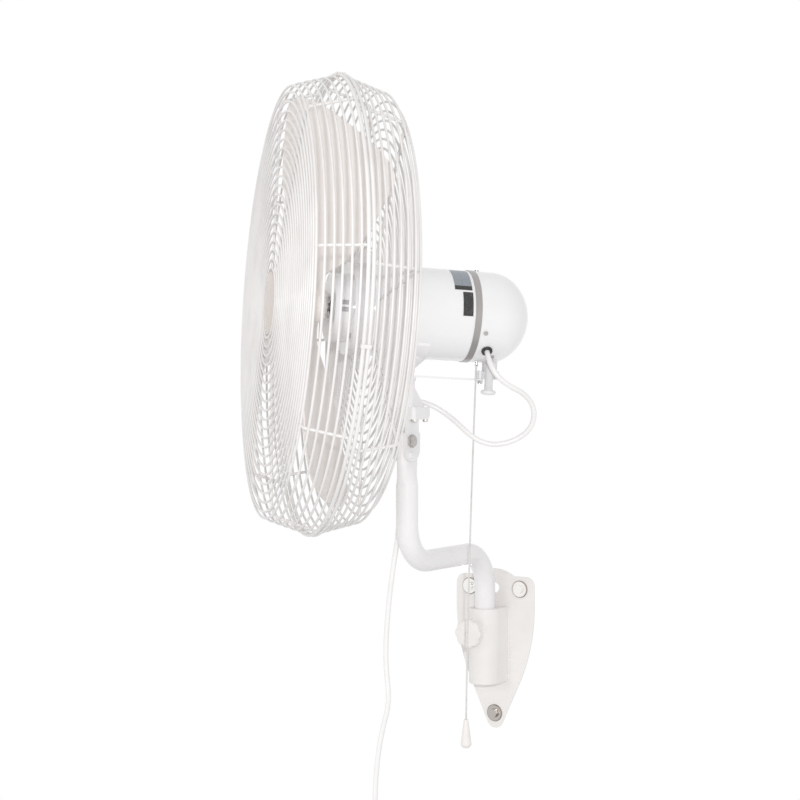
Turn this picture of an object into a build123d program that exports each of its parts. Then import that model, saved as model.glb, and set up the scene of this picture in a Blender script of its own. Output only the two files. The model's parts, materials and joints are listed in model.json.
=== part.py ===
from build123d import *
import os
from math import atan2, cos, degrees, pi, radians, sin, sqrt, tan

# Wall mounted oscillating fan, millimetres, +Z up.
# The origin is midway between the two top screws, on the face that meets the wall (Y = 0).
# The room is towards -Y. The pieces stand as in the picture: head turned to one end of its swing.

# ---- driving dimensions -------------------------------------------------------------------
PLATE_THICK = 3.0
SCREW_HALF_SPAN = 47.3       # top screws, each side of the middle
LOW_SCREW_DROP = 210.0       # bottom screw below the top pair
SCREW_HOLE_R = 4.5
STUD_R = 3.5                 # threaded shank that stands out behind the plate
STUD_LENGTH = 42.0

TUBE_R = 17.0                # bent steel arm
TUBE_WALL = 2.2
TUBE_BEND = 60.0             # bend radius at the tube's middle
SOCKET_Y = -37.0             # upright in the wall bracket
POST_Y = -282.0              # upright that carries the head
ARM_RUN_Z = 64.0             # level run between them
SOCKET_LOW = -154.0
SOCKET_HIGH = -30.0
SOCKET_R = 26.5
CLAMP_Z = -66.0

TANG_THICK = 18.0            # arm end pressed flat
TANG_WIDE = 43.0
TANG_TOP = 266.0
EAR_GAP = 0.3
EAR_THICK = 4.0
EAR_OUT = TANG_THICK / 2 + EAR_GAP + EAR_THICK
TILT_Y = -293.0
TILT_Z = 230.5               # tilt pin
LOCK_UP = 21.5               # lock bolt above the tilt pin
LOCK_R = 4.0

WEB_LOW = 284.5              # clevis web under the block
BLOCK_LOW = 288.0
BLOCK_HIGH = 303.2
BLOCK_HALF_X = 23.0
BLOCK_FRONT = -298.3
BLOCK_REAR = -249.0
POST_R = 11.5
COLLAR_TOP = 328.6
SHOULDER_Z = 343.0
JOURNAL_R = 9.0              # slim top of the post, in the head's hub
JOURNAL_TOP = 372.7
HUB_R = 11.5
HUB_LOW = 355.0

AXIS_Z = 447.5               # fan axis above the origin, at the post
HEAD_YAW = 44.0              # head turned from straight out
NOSE_UP = 3.0

SHELL_R = 70.0
SHELL_WALL = 2.5
SHELL_FRONT = 92.0           # distances along the fan axis are measured forward of the post
BAND_FRONT = -88.5
BAND_REAR = -98.5
DOME_START = -128.0
DOME_SHOULDER = 55.0
DOME_TURN = 42.0
BELL_R = 52.0
BELL_FRONT = 119.0
CRANK_AXIS = -135.4          # gear box output
CRANK_THROW = 14.5
LUG_REACH = 20.9             # link's fixed pivot beside the post
PLUNGER_AT = -128.5
PLUNGER_SIDE = 22.0
GROMMET_AT = -115.4
GROMMET_ANGLE = -48.7
SWITCH_AT = -110.4
SWITCH_SIDE = 12.0

RIM_AT = 134.2               # joint plane of the two guards
RIM_R = 342.5
RIM_WIRE = 2.75
RING_WIRE = 1.75
RIB_WIRE = 2.25
RIBS = 8
FRONT_PHASE = 10.3
REAR_PHASE = 6.3
RING_PITCH = 13.6
BADGE_R = 47.0

BLADES = 3
BLADE_TIP = 303.0
BLADE_THICK = 2.2

CORD_R = 4.0
PULL_R = 1.25
COIL_STEP = 8.7              # turn to turn in the coil
COIL_OUTER_R = 52.0
COIL_LAYER_TURNS = 3
LEAD_EXIT = (-19.0, -274.0)
LEAD_BUSH_R = 5.2


# ---- placing ------------------------------------------------------------------------------
post = Pos(0, POST_Y, 0)
head = Pos(0, POST_Y, AXIS_Z) * Rot(0, 0, -HEAD_YAW) * Rot(-NOSE_UP, 0, 0)
fan = head * Rot(90, 0, 0)    # local z runs forward along the fan axis, y up, x to the fan's left


def save(name, *solids):
    """One node: its solids go to one file."""
    bodies = []
    for item in solids:
        bodies.extend(item.solids())
    whole = bodies[0] if len(bodies) == 1 else Compound(children=bodies)
    export_step(whole, f"parts/{name}.step")


def rod(radius, start, end):
    """Cylinder between two points."""
    line = Vector(*end) - Vector(*start)
    plane = Plane(origin=Vector(*start), z_dir=line)
    return extrude(plane * Circle(radius), line.length)


def tube_between(outer, inner, low, high):
    """Upright tube on the local z axis."""
    ring = Circle(outer) - Circle(inner)
    return extrude(Pos(0, 0, low) * ring, high - low)


def block(x0, x1, y0, y1, z0, z1):
    centre = Pos((x0 + x1) / 2, (y0 + y1) / 2, (z0 + z1) / 2)
    return centre * Box(x1 - x0, y1 - y0, z1 - z0)


def hex_bar(flats, low, high, turn=0.0):
    """Hexagonal bar on the local z axis."""
    shape = Rot(0, 0, turn) * RegularPolygon(flats / 2, 6, major_radius=False)
    return extrude(Pos(0, 0, low) * shape, high - low)


def polar(radius, angle, along=0.0):
    """Point round the fan axis: angle from the fan's left, turning upward."""
    return (radius * cos(radians(angle)), radius * sin(radians(angle)), along)


# ---- wall bracket -------------------------------------------------------------------------
def plate_outline():
    half = 73.5
    arch_r = 63.0
    arch_half = 36.0
    ear_top = 20.7
    corner = 16.0
    straight_low = -30.0
    lean = 25.0
    tip_r = 15.0
    tip_z = -220.0
    arch_z = ear_top - sqrt(arch_r**2 - arch_half**2)
    arch_start = degrees(atan2(ear_top - arch_z, arch_half))
    n = (cos(radians(lean)), -sin(radians(lean)))
    tip_x = tip_r * n[0]
    tip_join = tip_z + tip_r * n[1]
    # flank radius that meets the straight lower edge without a corner
    reach = n[0] * tip_x + n[1] * tip_join
    flank_r = (reach - n[0] * half - n[1] * straight_low) / (1 - n[0])
    flank_end = (half - flank_r + flank_r * n[0], straight_low + flank_r * n[1])
    right = [
        Line((arch_half, ear_top), (half - corner, ear_top)),
        CenterArc((half - corner, ear_top - corner), corner, 0, 90),
        Line((half, ear_top - corner), (half, straight_low)),
        CenterArc((half - flank_r, straight_low), flank_r, -lean, lean),
        Line(flank_end, (tip_x, tip_join)),
    ]
    left = [edge.mirror(Plane.YZ) for edge in right]
    arch = CenterArc((0, arch_z), arch_r, arch_start, 180 - 2 * arch_start)
    tip = CenterArc((0, tip_z), tip_r, lean - 180, 180 - 2 * lean)
    return make_face([arch, tip] + right + left)


SCREW_PLACES = [(-SCREW_HALF_SPAN, 0), (SCREW_HALF_SPAN, 0), (0, -LOW_SCREW_DROP)]


def wall_plate():
    centre_hole = 8.5
    shape = plate_outline() - Circle(centre_hole)
    for x, z in SCREW_PLACES:
        shape -= Pos(x, z) * Circle(SCREW_HOLE_R)
    plate = extrude(Plane.XZ * shape, PLATE_THICK)
    front = plate.faces().sort_by(Axis.Y)[0]
    return fillet(front.outer_wire().edges(), 1.0)


def arm_socket():
    outer = Pos(0, SOCKET_Y) * Circle(SOCKET_R)
    outer += Pos(0, (SOCKET_Y - PLATE_THICK) / 2) * Rectangle(2 * SOCKET_R, -PLATE_THICK - SOCKET_Y)
    body = extrude(Pos(0, 0, SOCKET_LOW) * outer, SOCKET_HIGH - SOCKET_LOW)
    ends = body.faces().sort_by(Axis.Z)
    rounded = [e for f in (ends[0], ends[-1]) for e in f.edges() if e.center().Y < -PLATE_THICK - 1]
    body = fillet(rounded, 1.6)
    # welded boss for the clamp screw
    face = SOCKET_Y - SOCKET_R
    body += rod(10.0, (0, face + 3, CLAMP_Z), (0, face - 7.5, CLAMP_Z))
    floor_thick = 3.0
    bore_r = TUBE_R + 0.35
    depth = SOCKET_HIGH - SOCKET_LOW - floor_thick
    body -= Pos(0, SOCKET_Y, SOCKET_HIGH - depth / 2) * Cylinder(bore_r, depth + 0.001)
    body -= rod(4.25, (0, SOCKET_Y, CLAMP_Z), (0, face - 9, CLAMP_Z))
    return body


def clamp_screw():
    return rod(4.0, (0, SOCKET_Y - TUBE_R - 0.4, CLAMP_Z), (0, -84.0, CLAMP_Z))


def clamp_knob():
    knob_r = 23.2
    lobes = 8
    notch_r = 9.0
    notch_out = knob_r + notch_r - 1.7
    shape = Circle(knob_r)
    for i in range(lobes):
        angle = radians(360 * (i + 0.5) / lobes)
        shape -= Pos(notch_out * cos(angle), notch_out * sin(angle)) * Circle(notch_r)
    shape = fillet(shape.vertices(), 2.5)
    back = -84.0
    thick = 13.0
    knob = extrude(Plane(origin=(0, back, CLAMP_Z), x_dir=(1, 0, 0), z_dir=(0, -1, 0)) * shape, thick)
    knob = chamfer(knob.faces().sort_by(Axis.Y)[0].outer_wire().edges(), 2.2)
    knob -= rod(4.2, (0, back - thick + 1.4, CLAMP_Z), (0, back - thick - 1, CLAMP_Z))
    stem = rod(8.0, (0, back, CLAMP_Z), (0, -72.0, CLAMP_Z)) - rod(4.0, (0, back, CLAMP_Z), (0, -71, CLAMP_Z))
    return knob + stem


def wall_screw(x, z):
    """Lag screw: hexagon head, plain neck in the plate, threaded shank in the wall."""
    head_low = PLATE_THICK + 2.2
    place = Pos(x, 0, z) * Rot(90, 0, 0)
    screw = hex_bar(13.0, head_low, head_low + 5.6)
    screw = screw & (Pos(0, 0, head_low - 4) * Sphere(12.2))
    screw += extrude(Pos(0, 0, -0.3) * Circle(4.0), head_low + 0.3)
    screw += extrude(Pos(0, 0, -STUD_LENGTH + 6) * Circle(STUD_R), STUD_LENGTH - 6.3)
    screw += Pos(0, 0, -STUD_LENGTH + 3) * Cone(0.6, STUD_R, 6)
    return place * screw


def wall_washer(x, z):
    """Broad dished washer under each screw head."""
    place = Pos(x, 0, z) * Rot(90, 0, 0)
    washer_r = 14.2
    washer = Pos(0, 0, PLATE_THICK + 1.1) * Cylinder(washer_r, 2.2)
    washer = chamfer(washer.edges().group_by(Axis.Z)[-1], 1.2)
    washer -= Cylinder(4.6, 40)
    return place * washer


# ---- arm ----------------------------------------------------------------------------------
def arm_path(low, high):
    return [
        Line((0, SOCKET_Y, low), (0, SOCKET_Y, ARM_RUN_Z - TUBE_BEND)),
        ThreePointArc(
            (0, SOCKET_Y, ARM_RUN_Z - TUBE_BEND),
            (0, SOCKET_Y - TUBE_BEND * (1 - cos(pi / 4)), ARM_RUN_Z - TUBE_BEND * (1 - sin(pi / 4))),
            (0, SOCKET_Y - TUBE_BEND, ARM_RUN_Z),
        ),
        Line((0, SOCKET_Y - TUBE_BEND, ARM_RUN_Z), (0, POST_Y + TUBE_BEND, ARM_RUN_Z)),
        ThreePointArc(
            (0, POST_Y + TUBE_BEND, ARM_RUN_Z),
            (0, POST_Y + TUBE_BEND * (1 - sin(pi / 4)), ARM_RUN_Z + TUBE_BEND * (1 - cos(pi / 4))),
            (0, POST_Y, ARM_RUN_Z + TUBE_BEND),
        ),
        Line((0, POST_Y, ARM_RUN_Z + TUBE_BEND), (0, POST_Y, high)),
    ]


def tang(radius, thick, wide, round_top, flat_low, top):
    """Round tube pressed flat towards its end."""
    section_round = Pos(0, POST_Y, round_top) * Circle(radius)
    flat = Pos(0, POST_Y, flat_low) * Rot(0, 0, 90) * SlotOverall(wide, thick)
    shape = loft([section_round, flat])
    return shape + extrude(flat, top - flat_low)


def support_arm():
    round_top = 184.0
    flat_low = 217.0
    low = SOCKET_LOW + 3.4
    line = Wire(arm_path(low, round_top))
    start = Plane(origin=(0, SOCKET_Y, low), z_dir=(0, 0, 1))
    arm = sweep(start * Circle(TUBE_R), line) + tang(TUBE_R, TANG_THICK, TANG_WIDE, round_top, flat_low, TANG_TOP)
    inner_r = TUBE_R - TUBE_WALL
    bore = sweep(start * Circle(inner_r), line)
    bore += tang(
        inner_r, TANG_THICK - 2 * TUBE_WALL, TANG_WIDE - 2 * TUBE_WALL, round_top, flat_low, TANG_TOP
    )
    arm -= bore
    corner = 9.0
    for y in (POST_Y - TANG_WIDE / 2, POST_Y + TANG_WIDE / 2):
        inward = corner if y < POST_Y else -corner
        cut = block(-20, 20, min(y, y + inward), max(y, y + inward), TANG_TOP - corner, TANG_TOP)
        cut -= rod(corner, (-20, y + inward, TANG_TOP - corner), (20, y + inward, TANG_TOP - corner))
        arm -= cut
    arm -= rod(4.1, (-20, TILT_Y, TILT_Z), (20, TILT_Y, TILT_Z))
    # arc slot in which the lock bolt slides as the head is tilted
    slot_r = LOCK_R + 0.4
    for step in range(-17, 12, 2):
        angle = radians(step)
        y = TILT_Y - LOCK_UP * sin(angle)
        z = TILT_Z + LOCK_UP * cos(angle)
        arm -= rod(slot_r, (-20, y, z), (20, y, z))
    return arm


# ---- neck: tilts on the arm ------------------------------------------------------------------
EAR_FRONT = -308.0
EAR_REAR = -265.5
EAR_STEP = 4.0               # the ears are this much narrower at the top, front and rear


def ear_shape():
    middle = (EAR_REAR + EAR_FRONT) / 2
    ear_r = (EAR_REAR - EAR_FRONT) / 2
    round_z = 241.5
    wide_top = 264.0
    lower = Pos(middle, round_z) * Circle(ear_r)
    lower += Pos(middle, (round_z + wide_top) / 2) * Rectangle(2 * ear_r, wide_top - round_z)
    upper_wide = 2 * (ear_r - EAR_STEP)
    upper = Pos(middle, (wide_top + WEB_LOW) / 2) * Rectangle(upper_wide, WEB_LOW - wide_top + 1)
    return lower + upper


def tilt_clevis():
    """Two ears under a web, one each side of the arm's flat end."""
    ears = extrude(Plane.YZ.offset(EAR_OUT - EAR_THICK) * ear_shape(), EAR_THICK)
    ears += extrude(Plane.YZ.offset(-EAR_OUT) * ear_shape(), EAR_THICK)
    web = block(-BLOCK_HALF_X, BLOCK_HALF_X, BLOCK_FRONT, BLOCK_REAR - 3, WEB_LOW, BLOCK_LOW)
    ears += chamfer(web.edges().filter_by(Axis.Z), 4.0)
    ears -= rod(3.9, (-30, TILT_Y, TILT_Z), (30, TILT_Y, TILT_Z))
    ears -= rod(LOCK_R, (-30, TILT_Y, TILT_Z + LOCK_UP), (30, TILT_Y, TILT_Z + LOCK_UP))
    for x, y in NECK_SCREWS:
        ears -= Pos(x, y, BLOCK_LOW) * Cylinder(2.6, 20)
    ears -= Pos(*LEAD_EXIT, BLOCK_LOW) * Cylinder(LEAD_BUSH_R, 20)
    return ears


def tilt_pin():
    """Pin through both ears with a low round head on each side."""
    head_high = 3.4
    pin = rod(3.9, (-EAR_OUT - 0.5, TILT_Y, TILT_Z), (EAR_OUT + 0.5, TILT_Y, TILT_Z))
    for side in (-1, 1):
        pin += rod(5.4, (side * EAR_OUT, TILT_Y, TILT_Z), (side * (EAR_OUT + head_high), TILT_Y, TILT_Z))
    rims = pin.edges().filter_by(GeomType.CIRCLE)
    ends = [e for e in rims if abs(abs(e.center().X) - EAR_OUT - head_high) < 0.01]
    return fillet(ends, 2.4)


def tilt_lock():
    """Hexagon bolt through both ears and its nut on the far side."""
    place = Pos(0, TILT_Y, TILT_Z + LOCK_UP) * Rot(0, 90, 0)
    bolt = hex_bar(17.0, EAR_OUT, EAR_OUT + 6.5) & (Pos(0, 0, EAR_OUT - 4) * Sphere(13.4))
    bolt += extrude(Pos(0, 0, -EAR_OUT - 10) * Circle(LOCK_R), 2 * EAR_OUT + 10.5)
    nut = hex_bar(13.0, -EAR_OUT - 7, -EAR_OUT) - Cylinder(LOCK_R, 100)
    return place * bolt, place * nut


NECK_SCREWS = [(-18, -289.0), (18, -289.0), (-18, -258.0), (18, -258.0)]


def neck_block():
    body = block(-BLOCK_HALF_X, BLOCK_HALF_X, BLOCK_FRONT, BLOCK_REAR, BLOCK_LOW, BLOCK_HIGH)
    body = chamfer(body.edges().filter_by(Axis.Z), 4.0)
    body = fillet(body.edges().group_by(Axis.Z)[-1], 1.0)
    # sloped rib behind the post, as wide as the post
    rib_low = BLOCK_REAR - 1.5
    rib_top = COLLAR_TOP + 8
    rib = make_face(
        Polyline((POST_Y, BLOCK_HIGH), (rib_low, BLOCK_HIGH), (rib_low, BLOCK_HIGH + 2), (POST_Y, rib_top), close=True)
    )
    body += extrude(Plane.YZ.offset(-POST_R) * rib, 2 * POST_R)
    body += Pos(0, POST_Y, (BLOCK_HIGH + COLLAR_TOP) / 2) * Cylinder(POST_R, COLLAR_TOP - BLOCK_HIGH)
    body -= Pos(0, POST_Y, COLLAR_TOP + 20) * Cylinder(POST_R, 40)
    body -= Pos(0, POST_Y, BLOCK_HIGH) * Cylinder(8.0, 120)
    for x, y in NECK_SCREWS:
        body -= Pos(x, y, BLOCK_LOW) * Cylinder(2.5, 20)
    body -= loop_pocket()
    body -= Pos(*LEAD_EXIT, BLOCK_LOW) * Cylinder(LEAD_BUSH_R, 8)
    return body


def pivot_post():
    """Post pressed into the block; the head turns on its slim top."""
    pin = Pos(0, 0, BLOCK_LOW) * extrude(Circle(8.0), COLLAR_TOP - BLOCK_LOW)
    pin += Pos(0, 0, COLLAR_TOP) * extrude(Circle(POST_R), SHOULDER_Z - COLLAR_TOP)
    pin += Pos(0, 0, SHOULDER_Z) * extrude(Circle(JOURNAL_R), JOURNAL_TOP - SHOULDER_Z)
    return post * chamfer(pin.edges().group_by(Axis.Z)[-1], 1.0)


def neck_screw(x, y):
    """Dark pan head under the web."""
    head_part = Pos(x, y, WEB_LOW - 2.2) * Cylinder(4.4, 4.4)
    head_part = fillet(head_part.edges().group_by(Axis.Z)[0], 1.8)
    return head_part + Pos(x, y, WEB_LOW + 6) * Cylinder(2.5, 12.4)


def link_lug():
    """Plate on the post's shoulder that carries the link's fixed end."""
    low = SHOULDER_Z
    high = 348.2
    shape = Circle(13.5) + Pos(-LUG_REACH, 0) * SlotOverall(34.0, 15.0)
    shape -= Circle(JOURNAL_R)
    return post * extrude(Pos(0, 0, low) * shape, high - low)


def lead_bush():
    x, y = LEAD_EXIT
    bush = Pos(x, y, BLOCK_LOW) * Cylinder(LEAD_BUSH_R, 8)
    bush += Pos(x, y, WEB_LOW - 2) * Cylinder(LEAD_BUSH_R, 6)
    return bush - Pos(x, y, WEB_LOW - 3) * Cylinder(CORD_R + 0.25, 10)


# ---- cords ----------------------------------------------------------------------------------
def fan_point(x, y, along):
    """A point given round the fan axis, in the part's frame."""
    return (fan * Pos(x, y, along)).position


GROMMET_FACE = SHELL_R + 3.0
GROMMET_RECESS = 2.0

# from the bush in the rear cover, round under the motor, into the sloped rib behind the post
LOOP_ROUTE = [
    (112.0, -233.8, 388.0),
    (118.2, -240.6, 377.5),
    (126.0, -246.0, 364.5),
    (136.0, -243.5, 348.5),
    (148.5, -231.0, 335.0),
    (160.5, -211.5, 325.5),
    (167.0, -194.5, 311.5),
    (168.0, -184.5, 292.5),
    (160.5, -181.5, 272.5),
    (144.0, -184.5, 257.0),
    (123.5, -196.5, 247.2),
    (101.4, -210.2, 245.6),
    (79.2, -220.6, 257.0),
    (60.0, -226.3, 275.5),
    (41.0, -229.5, 291.0),
    (25.0, -237.0, 302.5),
    (12.8, -246.0, 309.0),
    (5.5, -256.0, 312.0),
    (1.7, -267.3, 313.4),
]

# from the bush under the neck, down behind the arm, to the coil's outer turn
LEAD_ROUTE = [
    (-19.0, -274.0, 286.0),
    (-19.0, -274.0, 256.0),
    (-20.0, -271.2, 218.0),
    (-20.8, -271.0, 180.0),
    (-20.8, -271.6, 142.0),
    (-21.6, -273.0, 104.0),
    (-30.0, -275.0, 56.0),
    (-38.5, -275.5, -8.0),
    (-42.6, -276.0, -66.0),
    (-41.2, -276.0, -104.0),
    (-36.6, -276.0, -141.0),
    (-39.4, -276.0, -164.0),
    (-46.4, -276.0, -187.0),
    (-54.5, -276.0, -222.0),
    (-60.0, -276.0, -262.0),
    (-62.0, -276.0, -300.0),
    (-62.4, -276.0, -334.0),
    (-62.4, -276.0, -365.0),
]


def loop_pocket():
    """Hole in the rib that takes the loop's end."""
    outer, bend, end = [Vector(*point) for point in LOOP_ROUTE[-3:]]
    hole_r = CORD_R + 0.5
    deep = end + (end - bend).normalized() * 0.3
    return rod(hole_r, deep, bend) + Pos(*bend) * Sphere(hole_r) + rod(hole_r, bend, outer)


def corner_radii(points):
    """Each arc is as large as its two runs allow."""
    radii = []
    for a, b, c in zip(points, points[1:], points[2:]):
        before = Vector(*b) - Vector(*a)
        after = Vector(*c) - Vector(*b)
        turn = radians(before.get_angle(after))
        radii.append(0.45 * min(before.length, after.length) / tan(turn / 2))
    return radii


def cord_tube(name, points, radius):
    """Round cord along straight runs joined by tangent arcs."""
    radii = corner_radii(points)
    line = FilletPolyline(*points, radius=radii)
    start = Plane(origin=line @ 0, z_dir=line % 0)
    solid = sweep(start * Circle(radius), line)
    ratio = solid.volume / (pi * radius**2 * line.length)
    print(name, "length", round(line.length, 1), "radii", [round(r) for r in radii], "volume ratio", round(ratio, 4))
    return solid


def coil_halves():
    """Half turns as (radius, layer): in by one layer, a climb, and out by the other."""
    outer = COIL_OUTER_R
    inward = [(outer - COIL_STEP / 2 * i, 0) for i in range(2 * COIL_LAYER_TURNS)]
    climb = [(outer - COIL_STEP * COIL_LAYER_TURNS, None)]
    outward = [(radius, 1) for radius, _ in inward[:0:-1]]
    return inward + climb + outward


def coil_path():
    """Semicircles on two centres; the climb is two quarter turns that lean across."""
    point = Vector(*LEAD_ROUTE[-1])
    edges = []
    for i, (radius, layer) in enumerate(coil_halves()):
        side = 1 if i % 2 == 0 else -1
        ahead = Vector(0, 0, -side)
        end = point + Vector(2 * radius * side, 0, 0)
        if layer is None:
            end += Vector(0, COIL_STEP, 0)
            reach = (end - point).length / 2
            middle = (point + end) * 0.5 + ahead * reach
            edges.append(TangentArc(point, middle, tangent=ahead))
            edges.append(TangentArc(middle, end, tangent=end - point))
        else:
            middle = (point + end) * 0.5 + ahead * radius
            edges.append(ThreePointArc(point, middle, end))
        point = end
    return edges


def cord_coil():
    edges = coil_path()
    line = Wire(edges)
    start = Plane(origin=edges[0] @ 0, z_dir=edges[0] % 0)
    solid = sweep(start * Circle(CORD_R), line)
    places = []
    per_edge = 24
    for i, edge in enumerate(edges):
        for j in range(per_edge):
            places.append((i + j / per_edge, edge @ (j / per_edge)))
    gap = min((p - q).length for s, p in places for t, q in places if t - s > 1.2)
    ratio = solid.volume / (pi * CORD_R**2 * line.length)
    print("coil length", round(line.length, 1), "least gap", round(gap - 2 * CORD_R, 2), "volume", round(ratio, 4))
    return solid


def tail_route():
    x, y, z = LEAD_ROUTE[-1]
    y += COIL_STEP
    return [
        (x, y, z),
        (x, y, z - 20),
        (x - 5, y + 1, z - 42),
        (x - 9, y + 2, z - 66),
        (x - 9, y + 2, z - 88),
    ]


def cord_tie():
    """Strap round the bundle on the coil's far side."""
    x, y, z = LEAD_ROUTE[-1]
    x += 2 * COIL_OUTER_R
    slack = 0.6
    inner = COIL_STEP * COIL_LAYER_TURNS + 2 * CORD_R + 2 * slack
    wide = COIL_STEP + 2 * CORD_R + 2 * slack
    strap_thick = 1.2
    middle = Pos(x + CORD_R + slack - inner / 2, y + COIL_STEP / 2, z - 4.5)
    strap = Rectangle(inner + 2 * strap_thick, wide + 2 * strap_thick) - Rectangle(inner, wide)
    return middle * extrude(strap, 9.0)


def plug_body():
    end = Vector(*tail_route()[-1]) - Vector(0, 0, 0.3)
    sections = [
        (0.0, 5.2, 5.2),
        (-24.0, 6.2, 6.2),
        (-30.0, 11.5, 9.5),
        (-52.0, 14.5, 12.0),
    ]
    faces = [Pos(end.X, end.Y, end.Z + z) * Ellipse(a, b) for z, a, b in sections]
    neck = loft(faces[:2])
    grip = loft(faces[1:], ruled=False)
    return neck + grip


def plug_blades():
    end = Vector(*tail_route()[-1]) - Vector(0, 0, 52.3)
    pins = [block(end.X + s * 6.35 - 0.75, end.X + s * 6.35 + 0.75, end.Y - 3.2, end.Y + 3.2, end.Z - 17, end.Z)
            for s in (-1, 1)]
    earth = Pos(end.X, end.Y + 8.0, end.Z - 10) * Cylinder(2.4, 20)
    return pins + [earth]


# ---- head: motor ------------------------------------------------------------------------------
def saddle():
    """Cradle under the motor with the hub that turns on the post."""
    inner_r = SHELL_R + 0.1
    cradle = tube_between(SHELL_R + 3.2, inner_r, -25.0, 40.0)
    wrap_half = 51.5
    wrap_low = 47.5
    cradle = fan * (cradle & block(-wrap_half, wrap_half, -80, -wrap_low, -30, 50))
    bore_top = JOURNAL_TOP + 0.3
    flare_low = 362.0
    flare_top = 377.0
    flare_r = 29.0
    hub = Pos(0, POST_Y, (HUB_LOW + flare_low) / 2) * Cylinder(HUB_R, flare_low - HUB_LOW)
    hub += Pos(0, POST_Y, (flare_low + flare_top) / 2) * Cone(HUB_R, flare_r, flare_top - flare_low)
    hub += Pos(0, POST_Y, flare_top + 5) * Cylinder(flare_r, 10)
    hub -= fan * extrude(Circle(inner_r), 90, both=True)
    whole = hub + cradle
    return whole - Pos(0, POST_Y, (HUB_LOW + bore_top) / 2) * Cylinder(JOURNAL_R + 0.25, bore_top - HUB_LOW)


def motor_shell():
    shell = tube_between(SHELL_R, SHELL_R - SHELL_WALL, BAND_FRONT, SHELL_FRONT)
    return fan * shell


def trim_band():
    band = tube_between(SHELL_R + 0.8, SHELL_R - SHELL_WALL, BAND_REAR, BAND_FRONT)
    return fan * band


def dome_profile(inset):
    """Half outline of the rear cover from its open edge to the axis."""
    shoulder = DOME_SHOULDER - inset
    centre_r = SHELL_R - DOME_SHOULDER
    turn = radians(DOME_TURN)
    cap_shift = centre_r * tan(turn)
    cap_r = shoulder + centre_r / cos(turn)
    cap_centre = DOME_START + cap_shift
    open_edge = (SHELL_R - inset, BAND_REAR)
    start = (SHELL_R - inset, DOME_START)
    half = (centre_r + shoulder * cos(turn / 2), DOME_START - shoulder * sin(turn / 2))
    join = (centre_r + shoulder * cos(turn), DOME_START - shoulder * sin(turn))
    rest = (pi / 2 - turn) / 2 + turn
    cap_half = (cap_r * cos(rest), cap_centre - cap_r * sin(rest))
    tip = (0, cap_centre - cap_r)
    edges = [
        Line(open_edge, start),
        ThreePointArc(start, half, join),
        ThreePointArc(join, cap_half, tip),
        Line(tip, (0, BAND_REAR)),
        Line((0, BAND_REAR), open_edge),
    ]
    return make_face([Plane.XZ * e for e in edges])


def dome_solid(inset):
    return revolve(dome_profile(inset), Axis.Z)


def rear_cover():
    cover = dome_solid(0.0) - dome_solid(SHELL_WALL)
    out = polar(100, GROMMET_ANGLE, GROMMET_AT)
    cover -= rod(6.6, (0, 0, GROMMET_AT), out)
    cover -= rod(11.7, (0, -40, CRANK_AXIS), (0, -100, CRANK_AXIS))
    cover -= rod(5.5, (PLUNGER_SIDE, -40, PLUNGER_AT), (PLUNGER_SIDE, -100, PLUNGER_AT))
    cover -= rod(2.4, (SWITCH_SIDE, -40, SWITCH_AT), (SWITCH_SIDE, -100, SWITCH_AT))
    for angle, along in COVER_SCREWS:
        cover -= rod(2.2, polar(40, angle, along), polar(90, angle, along))
    return fan * cover


COVER_SCREWS = [(-23.3, -107.0), (-60.0, -127.5), (-156.7, -107.0), (90.0, -107.0)]


def cover_screw(angle, along):
    head_out = SHELL_R
    screw = rod(2.0, polar(head_out - 6, angle, along), polar(head_out, angle, along))
    cap = rod(3.4, polar(head_out, angle, along), polar(head_out + 2.0, angle, along))
    return fan * (screw + cap)


def cord_grommet():
    """Rubber bush where the cord enters the rear cover."""
    at = (GROMMET_ANGLE, GROMMET_AT)
    bush = rod(8.4, polar(SHELL_R + 0.3, *at), polar(GROMMET_FACE, *at))
    bush += rod(6.5, polar(SHELL_R - 6, *at), polar(SHELL_R + 0.4, *at))
    bush -= rod(CORD_R + 0.25, polar(GROMMET_FACE - GROMMET_RECESS, *at), polar(GROMMET_FACE + 2, *at))
    return fan * bush


BELL_SCREW_R = 61.0


def front_bell():
    """Vented front end of the motor, inside the cage."""
    low = SHELL_FRONT + 4
    bell = tube_between(SHELL_R, 38.0, SHELL_FRONT, low)
    bell += tube_between(BELL_R, BELL_R - SHELL_WALL, low, BELL_FRONT)
    bell += tube_between(BELL_R, 16.2, BELL_FRONT, BELL_FRONT + 3)
    bell += tube_between(20.0, 16.2, BELL_FRONT - 12, BELL_FRONT)
    # four pairs of long vents round its side
    vent_wide, vent_step = 6.8, 5.2
    vent_low = low + 2.5
    vent_high = BELL_FRONT - 3.5
    for i in range(4):
        for side in (-vent_step, vent_step):
            cut = Pos(BELL_R, side, (vent_low + vent_high) / 2) * Box(12, vent_wide, vent_high - vent_low)
            bell -= Rot(0, 0, 90 * i) * cut
    for i in range(4):
        x, y, _ = polar(BELL_SCREW_R, 45 + 90 * i)
        bell -= Pos(x, y, SHELL_FRONT + 2) * Cylinder(2.0, 10)
    return fan * bell


def bell_screw(i):
    x, y, _ = polar(BELL_SCREW_R, 45 + 90 * i)
    low = SHELL_FRONT + 4
    cap = Pos(x, y, low + 1.6) * Cylinder(4.2, 3.2)
    shank = Pos(x, y, low - 5) * Cylinder(2.0, 10)
    return fan * (cap + shank)


def rear_end_plate():
    """Plate across the shell that carries the rear bearing."""
    plate = tube_between(SHELL_R - SHELL_WALL, 16.2, -34.0, -29.0)
    plate += tube_between(20.0, 16.2, -44.0, -34.0)
    for i in range(6):
        x, y, _ = polar(45, 60 * i + 20)
        plate -= Pos(x, y, -31.5) * Cylinder(8.5, 10)
    return fan * plate


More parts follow.
